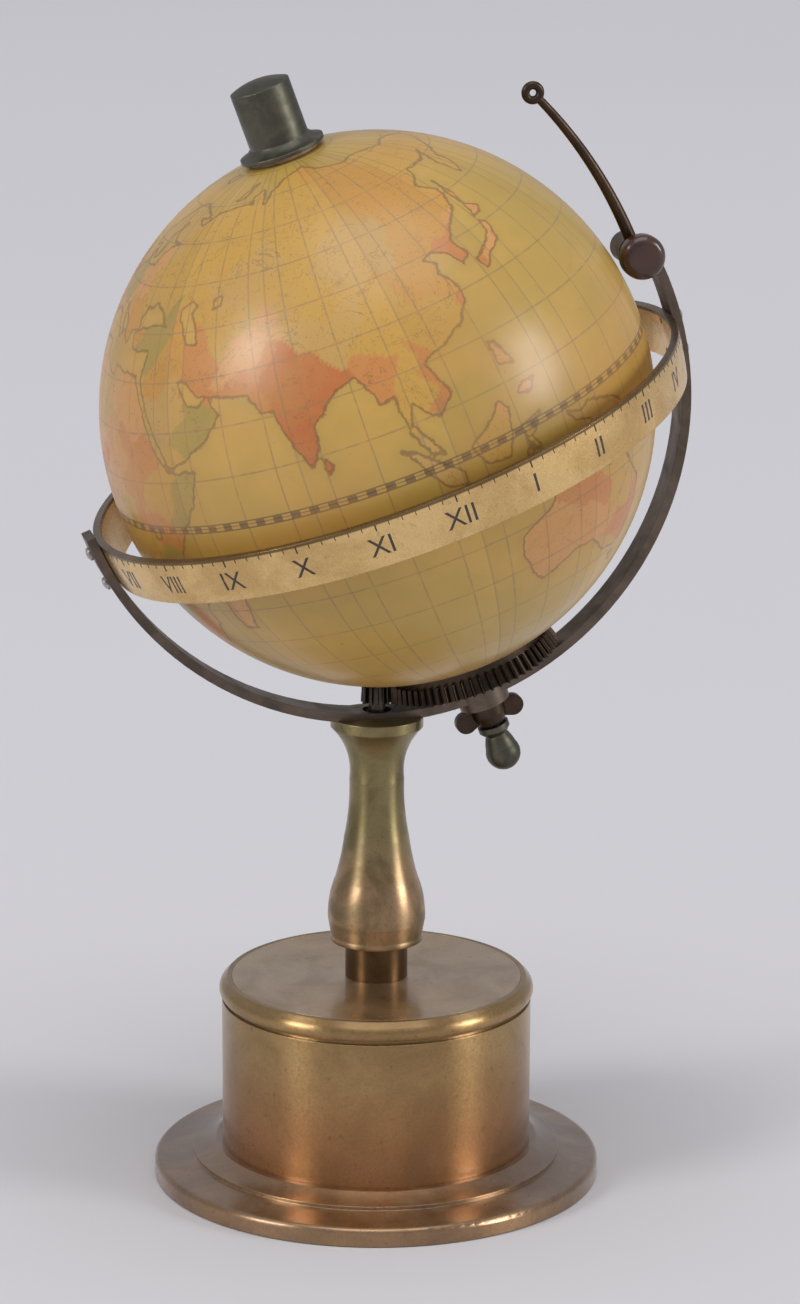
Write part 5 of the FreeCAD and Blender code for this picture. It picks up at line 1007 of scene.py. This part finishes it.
class Finish(Enum):
    """Every finish of the clock."""

    DRUM_BRASS = Metal(
        "drum_brass", (0.44, 0.285, 0.12), (0.21, 0.115, 0.045), (0.62, 0.44, 0.24), rough=0.30,
        rough_spread=0.10, stain_share=0.5, turned=0.6, breadth=38.0, coat=0.3, brushed=0.85,
        low_base=(0.40, 0.19, 0.075), low_level=14 * MM, high_level=40 * MM)
    FLANGE_BRASS = Metal(
        "flange_brass", (0.38, 0.225, 0.11), (0.20, 0.12, 0.065), (0.55, 0.40, 0.24), rough=0.30,
        rough_spread=0.12, turned=0.6, breadth=42.0, coat=1.0, coat_rough=0.2, brushed=0.8)
    PLATE_BRASS = Metal(
        "plate_brass", (0.64, 0.46, 0.27), (0.44, 0.30, 0.17), (0.72, 0.58, 0.38), rough=0.28,
        turned=0.8, breadth=50.0, coat=0.6, coat_rough=0.1, dust_share=0.05, brushed=0.8)
    COLUMN_BRASS = Metal(
        "column_brass", (0.29, 0.235, 0.115), (0.16, 0.13, 0.06), (0.50, 0.42, 0.24), rough=0.30,
        turned=0.5, breadth=90.0, brushed=0.75, low_base=(0.48, 0.31, 0.18), low_level=70 * MM,
        high_level=86 * MM)
    ARM_BRONZE = Metal(
        "arm_patina", (0.17, 0.13, 0.10), (0.09, 0.075, 0.06), (0.30, 0.235, 0.15), rough=0.36,
        breadth=110.0, wear_share=0.4, edge_width=0.18 * MM, dust_share=0.05)
    DARK_BRONZE = Metal(
        "dark_patina", (0.075, 0.05, 0.035), (0.035, 0.028, 0.022), (0.24, 0.185, 0.115), rough=0.34,
        breadth=110.0, wear_share=0.35, edge_width=0.18 * MM, dust_share=0.05)
    CAP_BRONZE = Metal(
        "cap_bronze", (0.13, 0.125, 0.092), (0.065, 0.066, 0.052), (0.28, 0.25, 0.18), rough=0.36,
        turned=0.7, breadth=120.0, lean_deg=20.0)
    # The band above -5 mm on the ring is painted shade along its upper edge, by the gap to the globe.
    RING_BRASS = Metal(
        "ring_gilt", (0.86, 0.59, 0.26), (0.58, 0.36, 0.14), (0.92, 0.70, 0.38), rough=0.24,
        rough_spread=0.1, turned=0.4, breadth=60.0, lean_deg=20.0, wear_share=0.25, painted_shade_above=-5.0 * MM)
    # Darker than the column: the collar's colour is partly its own dark brass and partly painted shade under
    # the column's bell.
    COLLAR_BRASS_AND_SHADE = Metal(
        "collar_brass_and_painted_shade", (0.16, 0.095, 0.045), (0.09, 0.055, 0.03), (0.40, 0.28, 0.15), rough=0.30,
        turned=0.5, breadth=90.0, brushed=0.6)
    WORKS_BRASS = Metal(
        "works_brass", (0.72, 0.50, 0.22), (0.50, 0.32, 0.12), (0.80, 0.62, 0.34), rough=0.22,
        turned=0.3, breadth=70.0, stain_share=0.4, spot_share=0.15, dust_share=0.04)
    STEEL = Metal(
        "bright_steel", (0.50, 0.49, 0.47), (0.28, 0.25, 0.22), (0.70, 0.69, 0.67), rough=0.22,
        breadth=150.0, stain_share=0.5, edge_width=0.15 * MM)
    DULL_STEEL = Metal(
        "dull_steel", (0.11, 0.095, 0.075), (0.055, 0.045, 0.035), (0.30, 0.27, 0.22), rough=0.38,
        breadth=150.0, edge_width=0.12 * MM, wear_share=0.35)
    BLUED_STEEL = Metal(
        "tempered_steel", (0.05, 0.07, 0.19), (0.09, 0.05, 0.10), (0.35, 0.36, 0.42), rough=0.2,
        breadth=150.0, stain_share=0.4, edge_width=0.12 * MM)
    MAROON = Lacquer("maroon_lacquer", (0.055, 0.018, 0.008), (0.20, 0.10, 0.06))
    BEECH = Timber("beech", (0.46, 0.30, 0.17), (0.30, 0.18, 0.09))
    MAP_PAPER = MapPaper()
    NUMERAL_INK = Lacquer("numeral_ink", (0.04, 0.03, 0.02), (0.12, 0.09, 0.05), rough=0.5)

    @cache
    def made(self) -> bpy.types.Material:
        """Returns the finish's material, built the first time."""
        return self.value.material()


class Mesh:
    """A bmesh that turns into a finished piece."""

    merge_distance: float = 0.001 * MM
    sharp_deg: float = 35.0

    def __init__(self) -> None:
        """Starts an empty bmesh."""
        self.bm = bmesh.new()

    def point(self, place: Sequence[float]) -> bmesh.types.BMVert:
        """Adds one vertex at a place, and returns it."""
        return bmesh.ops.create_vert(self.bm, co=Vector(place))["vert"][0]

    def sweep(self, start: bmesh.types.BMVert, axis: Sequence[float], degrees: float,
              steps: int) -> bmesh.types.BMVert:
        """Draws an arc of edges from a vertex, about the origin.

        Args:
            start: the vertex.
            axis: the arc's axis.
            degrees: how far it turns.
            steps: how many edges.

        Returns:
            The arc's last vertex.
        """
        spun = bmesh.ops.spin(self.bm, geom=[start], cent=ORIGIN, axis=Vector(axis), dvec=ORIGIN,
                              angle=math.radians(degrees), space=Matrix.Identity(4), steps=steps,
                              use_merge=False, use_normal_flip=False, use_duplicate=False)
        return next(item for item in spun["geom_last"] if isinstance(item, bmesh.types.BMVert))

    def join(self, a: bmesh.types.BMVert, b: bmesh.types.BMVert) -> None:
        """Adds an edge between two vertices."""
        self.bm.edges.new((a, b))

    def lathe(self, steps: int) -> None:
        """Spins everything round Z into a closed form of that many faces round."""
        bmesh.ops.spin(self.bm, geom=[*self.bm.verts, *self.bm.edges], cent=ORIGIN, axis=(0, 0, 1),
                       dvec=ORIGIN, angle=math.tau, space=Matrix.Identity(4), steps=steps,
                       use_merge=True, use_normal_flip=False, use_duplicate=False)
        bmesh.ops.remove_doubles(self.bm, verts=self.bm.verts, dist=self.merge_distance)
        bmesh.ops.recalc_face_normals(self.bm, faces=self.bm.faces)

    def place(self, matrix: Matrix) -> None:
        """Moves every vertex by a matrix."""
        bmesh.ops.transform(self.bm, matrix=matrix, verts=self.bm.verts)

    def finish(self, name: str, finish: Finish, body: Body, slot: str,
               replaces: Sequence[str] = ()) -> bpy.types.Object:
        """Turns the bmesh into a piece that rides on a body.

        Args:
            name: the piece's name.
            finish: its finish.
            body: the body it rides on.
            slot: the record's material slot; not used.
            replaces: the CAD nodes that it stands for.

        Returns:
            The piece.
        """
        for face in self.bm.faces:
            face.smooth = True
        for edge in self.bm.edges:
            if len(edge.link_faces) == 2 and edge.calc_face_angle(0.0) > math.radians(self.sharp_deg):
                edge.smooth = False
        data = bpy.data.meshes.new(name)
        self.bm.to_mesh(data)
        self.bm.free()
        piece = added(bpy.data.objects.new(name, data))
        data.materials.append(finish.made())
        if replaces:
            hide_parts(*replaces)
        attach(piece, body.value)
        log.info("%s: %d faces, %s, on %s", name, len(data.polygons), finish.value.name, body.value)
        return piece


def added(made: bpy.types.Object) -> bpy.types.Object:
    """Links a new object into the scene, and returns it."""
    bpy.context.scene.collection.objects.link(made)
    return made


@dataclass
class Globe:
    """The two half shells, printed with a map, each a lathe form about the leaning spindle."""

    centre_height: float = 183.5 * MM
    radius: float = 63.5 * MM
    wall: float = 2.2 * MM
    pole_hole: float = 8.0 * MM
    seam_round: float = 0.12 * MM
    tilt_deg: float = 20.0
    prime_heading_deg: float = 168.8
    steps_round: int = 540
    quick_steps_round: int = 180
    steps_down: int = 130
    steps_inside: int = 24
    shore_attribute: str = "shore"
    wash_attribute: str = "wash"

    def tilted(self) -> Matrix:
        """Returns the matrix from the spindle's own frame to the row's."""
        lean = Matrix.Rotation(-math.radians(self.tilt_deg), 4, "Y")
        return Matrix.Translation((0, 0, self.centre_height)) @ lean

    def build(self) -> None:
        """Builds both halves and colours their map."""
        for name, node, side in (("globe_skin_north", "globe_north", 1),
                                 ("globe_skin_south", "globe_south", -1)):
            shell = self.half(side)
            places = np.array([vertex.co for vertex in shell.bm.verts], float)
            shell.place(self.tilted())
            piece = shell.finish(name, Finish.MAP_PAPER, Body.GLOBE, "globe_paper", [node])
            MapPrint(self.prime_heading_deg).print_on(piece, places, self.shore_attribute,
                                                      self.wash_attribute)

    def half(self, side: int) -> Mesh:
        """Spins one half shell.

        Args:
            side: 1 for the north half, -1 for the south.

        Returns:
            The shell, upright about the origin.
        """
        shell = Mesh()
        outside, inside = self.radius, self.radius - self.wall
        hole_out = math.degrees(math.asin(self.pole_hole / outside))
        hole_in = math.degrees(math.asin(self.pole_hole / inside))
        lip = self.seam_round / outside
        start = shell.point((outside * math.cos(lip), 0, side * outside * math.sin(lip)))
        toward_pole = (0, -side, 0)
        top = shell.sweep(start, toward_pole, 90 - math.degrees(lip) - hole_out, self.steps_down)
        low_in = shell.point((inside, 0, 0))
        top_in = shell.sweep(low_in, toward_pole, 90 - hole_in, self.steps_inside)
        foot = shell.point((outside - self.seam_round, 0, 0))
        for a, b in ((top, top_in), (low_in, foot), (foot, start)):
            shell.join(a, b)
        shell.lathe(self.steps_round)
        return shell


@dataclass
class MapPrint:
    """Puts the map's coasts and colour washes on a sphere's vertices."""

    prime_heading_deg: float
    shore_reach_deg: float = 12.0
    search_reach_deg: float = 14.0
    widest_narrowing: float = 0.08
    far_deg: float = 1e9
    least_length: float = 1e-9
    closing_latitude: float = -89.0
    east_waves: tuple[Vec, ...] = ((2.2, 17, 0), (1.3, 41, 60))
    north_waves: tuple[Vec, ...] = ((1.8, 13, 0), (1.1, 37, 20))

    def print_on(self, piece: bpy.types.Object, places: np.ndarray, shore: str, wash: str) -> None:
        """Writes the shore distance and the wash colour of each vertex.

        Args:
            piece: the globe's half.
            places: its vertices, upright about the globe's centre.
            shore: name of the shore attribute.
            wash: name of the wash attribute.
        """
        unit = places / np.linalg.norm(places, axis=1, keepdims=True)
        latitude = np.degrees(np.arcsin(np.clip(unit[:, 2], -1, 1)))
        longitude = np.degrees(np.arctan2(unit[:, 1], unit[:, 0])) - self.prime_heading_deg
        longitude = (longitude + 180) % 360 - 180
        inside = np.zeros(len(places), bool)
        away = np.full(len(places), self.far_deg)
        for table, is_land in ((LANDS, True), (INLAND_SEAS, False)):
            for outline in table.values():
                hit, near = self.against(outline, longitude, latitude)
                inside[hit] = is_land
                away = np.minimum(away, near)
        reach = self.shore_reach_deg
        signed = np.clip(np.where(inside, away, -away), -reach, reach)
        layer = piece.data.attributes.new(shore, "FLOAT", "POINT")
        layer.data.foreach_set("value", signed.astype(np.float32))
        colours = piece.data.attributes.new(wash, "FLOAT_COLOR", "POINT")
        colours.data.foreach_set("color", self.washes(longitude, latitude).astype(np.float32).ravel())

    def against(self, outline: list[LonLat], longitude: np.ndarray,
                latitude: np.ndarray) -> tuple[np.ndarray, np.ndarray]:
        """Tests points against one coast.

        Args:
            outline: the coast's corners.
            longitude: of each point.
            latitude: of each point.

        Returns:
            Whether each point is inside, and its distance from the coast in degrees of arc.
        """
        corners = np.array(outline, float)
        following = np.roll(corners, -1, axis=0)
        hit = np.zeros(len(longitude), bool)
        near = np.full(len(longitude), self.far_deg)
        reach = self.search_reach_deg
        for turn in (0.0, 360.0):
            east = longitude + turn
            spread = reach / np.maximum(np.cos(np.radians(latitude)), self.widest_narrowing)
            close = (east > corners[:, 0].min() - spread) & (east < corners[:, 0].max() + spread)
            close &= (latitude > corners[:, 1].min() - reach) & (latitude < corners[:, 1].max() + reach)
            if not close.any():
                continue
            x, y = east[close], latitude[close]
            narrow = np.cos(np.radians(y))
            odd = np.zeros(len(x), bool)
            least = np.full(len(x), self.far_deg)
            for (ax, ay), (bx, by) in zip(corners, following):
                if ay != by:
                    crosses = (ay > y) != (by > y)
                    odd ^= crosses & (x < (bx - ax) * (y - ay) / (by - ay) + ax)
                if min(ay, by) <= self.closing_latitude or (abs(ax) == 180 and ax == bx):
                    continue
                px, py = (x - ax) * narrow, y - ay
                dx, dy = (bx - ax) * narrow, by - ay
                along = (px * dx + py * dy) / np.maximum(dx * dx + dy * dy, self.least_length)
                along = np.clip(along, 0, 1)
                least = np.minimum(least, np.hypot(px - along * dx, py - along * dy))
            hit[close] |= odd
            near[close] = np.minimum(near[close], least)
        return hit, near

    def washes(self, longitude: np.ndarray, latitude: np.ndarray) -> np.ndarray:
        """Gives each point the wash of the nearest seed.

        Args:
            longitude: of each point.
            latitude: of each point.

        Returns:
            Four colour parts for each point.
        """
        def unit(east: np.ndarray, north: np.ndarray) -> np.ndarray:
            """Unit vectors of points on the globe."""
            east, north = np.radians(east), np.radians(north)
            return np.stack([np.cos(north) * np.cos(east), np.cos(north) * np.sin(east), np.sin(north)], -1)

        def wobble(across: np.ndarray, waves: tuple[Vec, ...]) -> np.ndarray:
            """Degrees that a border wanders, from waves of a size, a rate and a start."""
            return sum(size * np.sin(np.radians(across * rate + start)) for size, rate, start in waves)

        seeds = unit(*np.array([wash[:2] for wash in WASHES], float).T)
        points = unit(longitude + wobble(latitude, self.east_waves),
                      latitude + wobble(longitude, self.north_waves))
        nearest = np.argmax(points @ seeds.T, axis=1)
        return np.array([(*tint.value, 1.0) for _, _, tint in WASHES])[nearest]


@dataclass
class HourRing:
    """The printed numerals and minute strokes on the fixed ring's outer face."""

    sphere: float = 70.95 * MM
    upper_edge: float = 4.3 * MM
    lower_edge: float = 15.1 * MM
    proud: float = 0.03 * MM
    numeral_height: float = 4.4 * MM
    numeral_drop: float = 0.6 * MM
    font_share: float = 1.42
    full_width_letters: float = 20 / 9
    squeeze_eased: float = 0.25
    curve_steps: int = 2
    edge_margin: float = 0.7 * MM
    hour_stroke: Levels = (0.34 * MM, 1.5 * MM)
    minute_stroke: Levels = (0.2 * MM, 0.9 * MM)
    hours: int = 24
    strokes_per_hour: int = 6
    noon_heading_deg: float = -90.0
    numerals: tuple[str, ...] = ("XII", "I", "II", "III", "IV", "V", "VI", "VII", "VIII", "IX", "X", "XI")

    def wrap(self, mesh: bpy.types.Mesh, heading_deg: float, level: float) -> None:
        """Bends a flat mesh onto the ring: X runs round, Y up, Z outward.

        Args:
            mesh: the flat mesh.
            heading_deg: where its X zero goes.
            level: where its Y zero goes, below the equator.
        """
        for vertex in mesh.vertices:
            x, y, z = vertex.co
            turn = math.radians(heading_deg) + x / self.sphere
            down = math.asin((level - y) / self.sphere)
            out = self.sphere + z
            vertex.co = (out * math.cos(down) * math.cos(turn), out * math.cos(down) * math.sin(turn),
                         -out * math.sin(down))

    def numeral(self, word: str) -> bpy.types.Mesh:
        """Makes one numeral as a flat, slightly thick mesh.

        Args:
            word: the numeral's letters.

        Returns:
            Its mesh, centred on the origin.
        """
        curve = bpy.data.curves.new("numeral", "FONT")
        curve.body = word
        curve.align_x = curve.align_y = "CENTER"
        curve.size = self.numeral_height * self.font_share
        curve.extrude = self.proud
        curve.resolution_u = self.curve_steps
        carrier = added(bpy.data.objects.new("numeral", curve))
        made = bpy.data.meshes.new_from_object(carrier)
        bpy.data.objects.remove(carrier)
        bpy.data.curves.remove(curve)
        squeeze = min(1.0, self.full_width_letters / len(word) + self.squeeze_eased)
        for vertex in made.vertices:
            vertex.co.x *= squeeze
        return made

    def stroke(self, wide: float, deep: float) -> bpy.types.Mesh:
        """Makes one stroke as a thin bar.

        Args:
            wide: its width round the ring.
            deep: its length down the ring.

        Returns:
            Its mesh, centred on the origin.
        """
        bar = bmesh.new()
        bmesh.ops.create_cube(bar, size=1.0)
        bmesh.ops.scale(bar, vec=(wide, deep, 2 * self.proud), verts=bar.verts)
        made = bpy.data.meshes.new("stroke")
        bar.to_mesh(made)
        bar.free()
        return made

    def printed(self, name: str, marks: Sequence[tuple[bpy.types.Mesh, float, float]]) -> None:
        """Puts flat marks on the ring as one inked piece.

        Args:
            name: the piece's name.
            marks: each mark's mesh, heading in degrees and level below the equator.
        """
        ink = Mesh()
        for made, heading_deg, level in marks:
            self.wrap(made, heading_deg, level)
            ink.bm.from_mesh(made)
            bpy.data.meshes.remove(made)
        ink.place(Globe().tilted())
        bmesh.ops.recalc_face_normals(ink.bm, faces=ink.bm.faces)
        ink.finish(name, Finish.NUMERAL_INK, Body.BASE, "dark_bronze")

    def build(self) -> None:
        """Builds the numerals and the strokes."""
        middle = (self.upper_edge + self.lower_edge) / 2 + self.numeral_drop
        self.printed("ring_numerals", [
            (self.numeral(self.numerals[hour % len(self.numerals)]),
             self.noon_heading_deg + hour * 360.0 / self.hours, middle) for hour in range(self.hours)])
        total = self.hours * self.strokes_per_hour
        strokes = []
        for index in range(total):
            wide, deep = self.minute_stroke if index % self.strokes_per_hour else self.hour_stroke
            strokes.append((self.stroke(wide, deep), self.noon_heading_deg + index * 360.0 / total,
                            self.upper_edge + self.edge_margin + deep / 2))
        self.printed("ring_strokes", strokes)


@dataclass
class Dressing:
    """Gives every CAD node its finish."""

    finishes: tuple[tuple[Finish, tuple[str, ...]], ...] = (
        (Finish.DRUM_BRASS, ("drum_case", "drum_bezel")),
        (Finish.FLANGE_BRASS, ("base_flange",)),
        (Finish.COLLAR_BRASS_AND_SHADE, ("column_collar",)),
        (Finish.PLATE_BRASS, ("drum_top_plate", "bottom_cover")),
        (Finish.COLUMN_BRASS, ("column",)),
        (Finish.ARM_BRONZE, ("meridian_arm",)),
        (Finish.DARK_BRONZE, ("wing_nut", "crown_ring", "index_arm")),
        (Finish.CAP_BRONZE, ("north_cap", "south_finial")),
        (Finish.RING_BRASS, ("hour_ring",)),
        (Finish.WORKS_BRASS, (
            "lower_plate", "upper_plate", "plate_pillars", "balance_cock", "column_nut", "column_bushes",
            "thrust_washer", "motion_wheel", "centre_wheel", "third_wheel", "fourth_wheel",
            "escape_wheel", "barrel", "barrel_cap", "balance_wheel")),
        (Finish.STEEL, (
            "cover_screws", "movement_screws", "saddle_screws", "ring_screws", "polar_spindle",
            "index_stud", "crown_ring_screws", "cannon_pinion", "centre_arbor", "third_arbor",
            "fourth_arbor", "escape_arbor", "barrel_arbor", "ratchet_wheel", "click", "click_spring",
            "pallet_lever", "balance_staff", "regulator_lever")),
        (Finish.DULL_STEEL, ("drive_shaft", "crown_pinion")),
        (Finish.BLUED_STEEL, ("plate_screws", "under_plate_screws", "mainspring", "balance_spring")),
        (Finish.MAROON, ("index_knob",)),
        (Finish.BEECH, ("equator_hoop", "north_hub", "south_hub")),
        (Finish.MAP_PAPER, ("globe_north", "globe_south")),
    )

    def dress(self) -> None:
        """Puts each finish on its nodes' material slots."""
        left = set(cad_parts)
        for finish, nodes in self.finishes:
            for name in nodes:
                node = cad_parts[name]
                if not node.material_slots:
                    node.data.materials.append(finish.made())
                for slot in node.material_slots:
                    slot.material = finish.made()
                left.discard(name)
                log.info("%s: %s", name, finish.value.name)
        for name in sorted(left):
            log.warning("%s has no finish", name)


@dataclass(frozen=True)
class Lamp:
    """One soft box: its turn from the camera, its height, its size, its watts and its colour."""

    name: str
    turn_deg: float
    elevation_deg: float
    size: tuple[float, float]
    power: float
    colour: Colour


@dataclass
class Studio:
    """A plain pale floor, soft light from two sides, and the camera."""

    azimuth_deg: float = -12.3
    elevation_deg: float = 16.2
    distance: float = 1149 * MM
    aim_height: float = 91.7 * MM
    focal_pixels: float = 4931.0
    aim_pixel: tuple[float, float] = (377.0, 795.5)
    roll_deg: float = -0.19
    sensor_width_mm: float = 36.0
    near: float = 0.05
    far: float = 50.0
    lamp_distance: float = 10.0
    lamp_aim_height: float = 150 * MM
    lamps: tuple[Lamp, ...] = (
        Lamp("left_box", -60, 27, (2.9, 3.9), 380.0, (1.0, 0.98, 0.95)),
        Lamp("right_box", 72, 19, (2.9, 3.9), 380.0, (1.0, 0.99, 0.97)),
        Lamp("top_box", 10, 78, (8.0, 8.0), 420.0, (1.0, 1.0, 1.0)),
    )
    room_colour: Colour = (0.92, 0.92, 0.99)
    room_strength: float = 0.42
    floor_size: float = 12.0
    floor_cells: int = 8
    floor_drop: float = 0.2 * MM
    floor_colour: Colour = (0.625, 0.62, 0.645)
    floor_shade: float = 0.98
    floor_patches: Patch = Patch(1.2, 2.0)
    floor_rough: float = 0.9
    floor_specular: float = 0.1

    def back(self, azimuth: float, elevation: float) -> Vector:
        """Direction from the aim toward a viewer or light.

        Args:
            azimuth: degrees round, 0 in front.
            elevation: degrees up.

        Returns:
            The unit vector.
        """
        a, e = math.radians(azimuth), math.radians(elevation)
        return Vector((math.sin(a) * math.cos(e), -math.cos(a) * math.cos(e), math.sin(e)))

    def camera(self) -> None:
        """Stands the camera at the photograph's place and aims it so that the frame matches."""
        data = bpy.data.cameras.new("camera")
        data.sensor_fit = "AUTO"
        data.sensor_width = self.sensor_width_mm
        data.lens = self.focal_pixels * data.sensor_width / FRAME_HEIGHT
        data.clip_start, data.clip_end = self.near, self.far
        made = added(bpy.data.objects.new("camera", data))
        back = self.back(self.azimuth_deg, self.elevation_deg)
        right = Vector((0, 0, 1)).cross(back).normalized()
        up = back.cross(right)
        made.location = Vector((0, 0, self.aim_height)) + back * self.distance
        across = (FRAME_WIDTH / 2 - self.aim_pixel[0]) / self.focal_pixels
        above = (self.aim_pixel[1] - FRAME_HEIGHT / 2) / self.focal_pixels
        look = (right * across + up * above - back).normalized()
        made.rotation_mode = "QUATERNION"
        rolled = Quaternion(look, math.radians(self.roll_deg))
        made.rotation_quaternion = rolled @ look.to_track_quat("-Z", "Y")
        bpy.context.scene.camera = made

    def hang(self, lamp: Lamp) -> None:
        """Adds one soft box that faces the clock.

        Args:
            lamp: the box.
        """
        data = bpy.data.lights.new(lamp.name, "AREA")
        data.shape = "RECTANGLE"
        data.size, data.size_y = lamp.size
        data.energy = lamp.power
        data.color = lamp.colour
        made = added(bpy.data.objects.new(lamp.name, data))
        toward = self.back(self.azimuth_deg + lamp.turn_deg, lamp.elevation_deg)
        made.location = Vector((0, 0, self.lamp_aim_height)) + toward * self.lamp_distance
        made.rotation_mode = "QUATERNION"
        made.rotation_quaternion = toward.to_track_quat("Z", "Y")

    def world(self) -> None:
        """Fills the room with even pale light."""
        world = bpy.data.worlds.new("room")
        world.use_nodes = True
        shade = world.node_tree.nodes["Background"]
        shade.inputs["Color"].default_value = (*self.room_colour, 1.0)
        shade.inputs["Strength"].default_value = self.room_strength
        bpy.context.scene.world = world

    def floor(self) -> None:
        """Lays the pale floor."""
        bm = bmesh.new()
        bmesh.ops.create_grid(bm, x_segments=self.floor_cells, y_segments=self.floor_cells,
                              size=self.floor_size / 2)
        data = bpy.data.meshes.new("floor")
        bm.to_mesh(data)
        bm.free()
        made = added(bpy.data.objects.new("floor", data))
        made.location.z = -self.floor_drop
        material, graph, shader = new_material("floor_paper")
        shaded = tuple(self.floor_shade * part for part in self.floor_colour)
        pale = graph.patch(graph.place(), self.floor_patches)
        graph.feed(shader.inputs["Base Color"], graph.mix(pale, self.floor_colour, shaded))
        shader.inputs["Roughness"].default_value = self.floor_rough
        shader.inputs["Specular IOR Level"].default_value = self.floor_specular
        data.materials.append(material)

    def build(self) -> None:
        """Sets up the floor, the light and the camera."""
        self.floor()
        self.world()
        for lamp in self.lamps:
            self.hang(lamp)
        bpy.context.scene.view_settings.view_transform = "Standard"
        self.camera()


def main() -> None:
    """Dresses the clock, class by class."""
    logging.basicConfig(level=logging.INFO, format="%(name)s: %(message)s")
    Effects().build()
    Dressing().dress()
    Globe().build()
    HourRing().build()
    Studio().build()


if __name__ == "__main__":
    main()
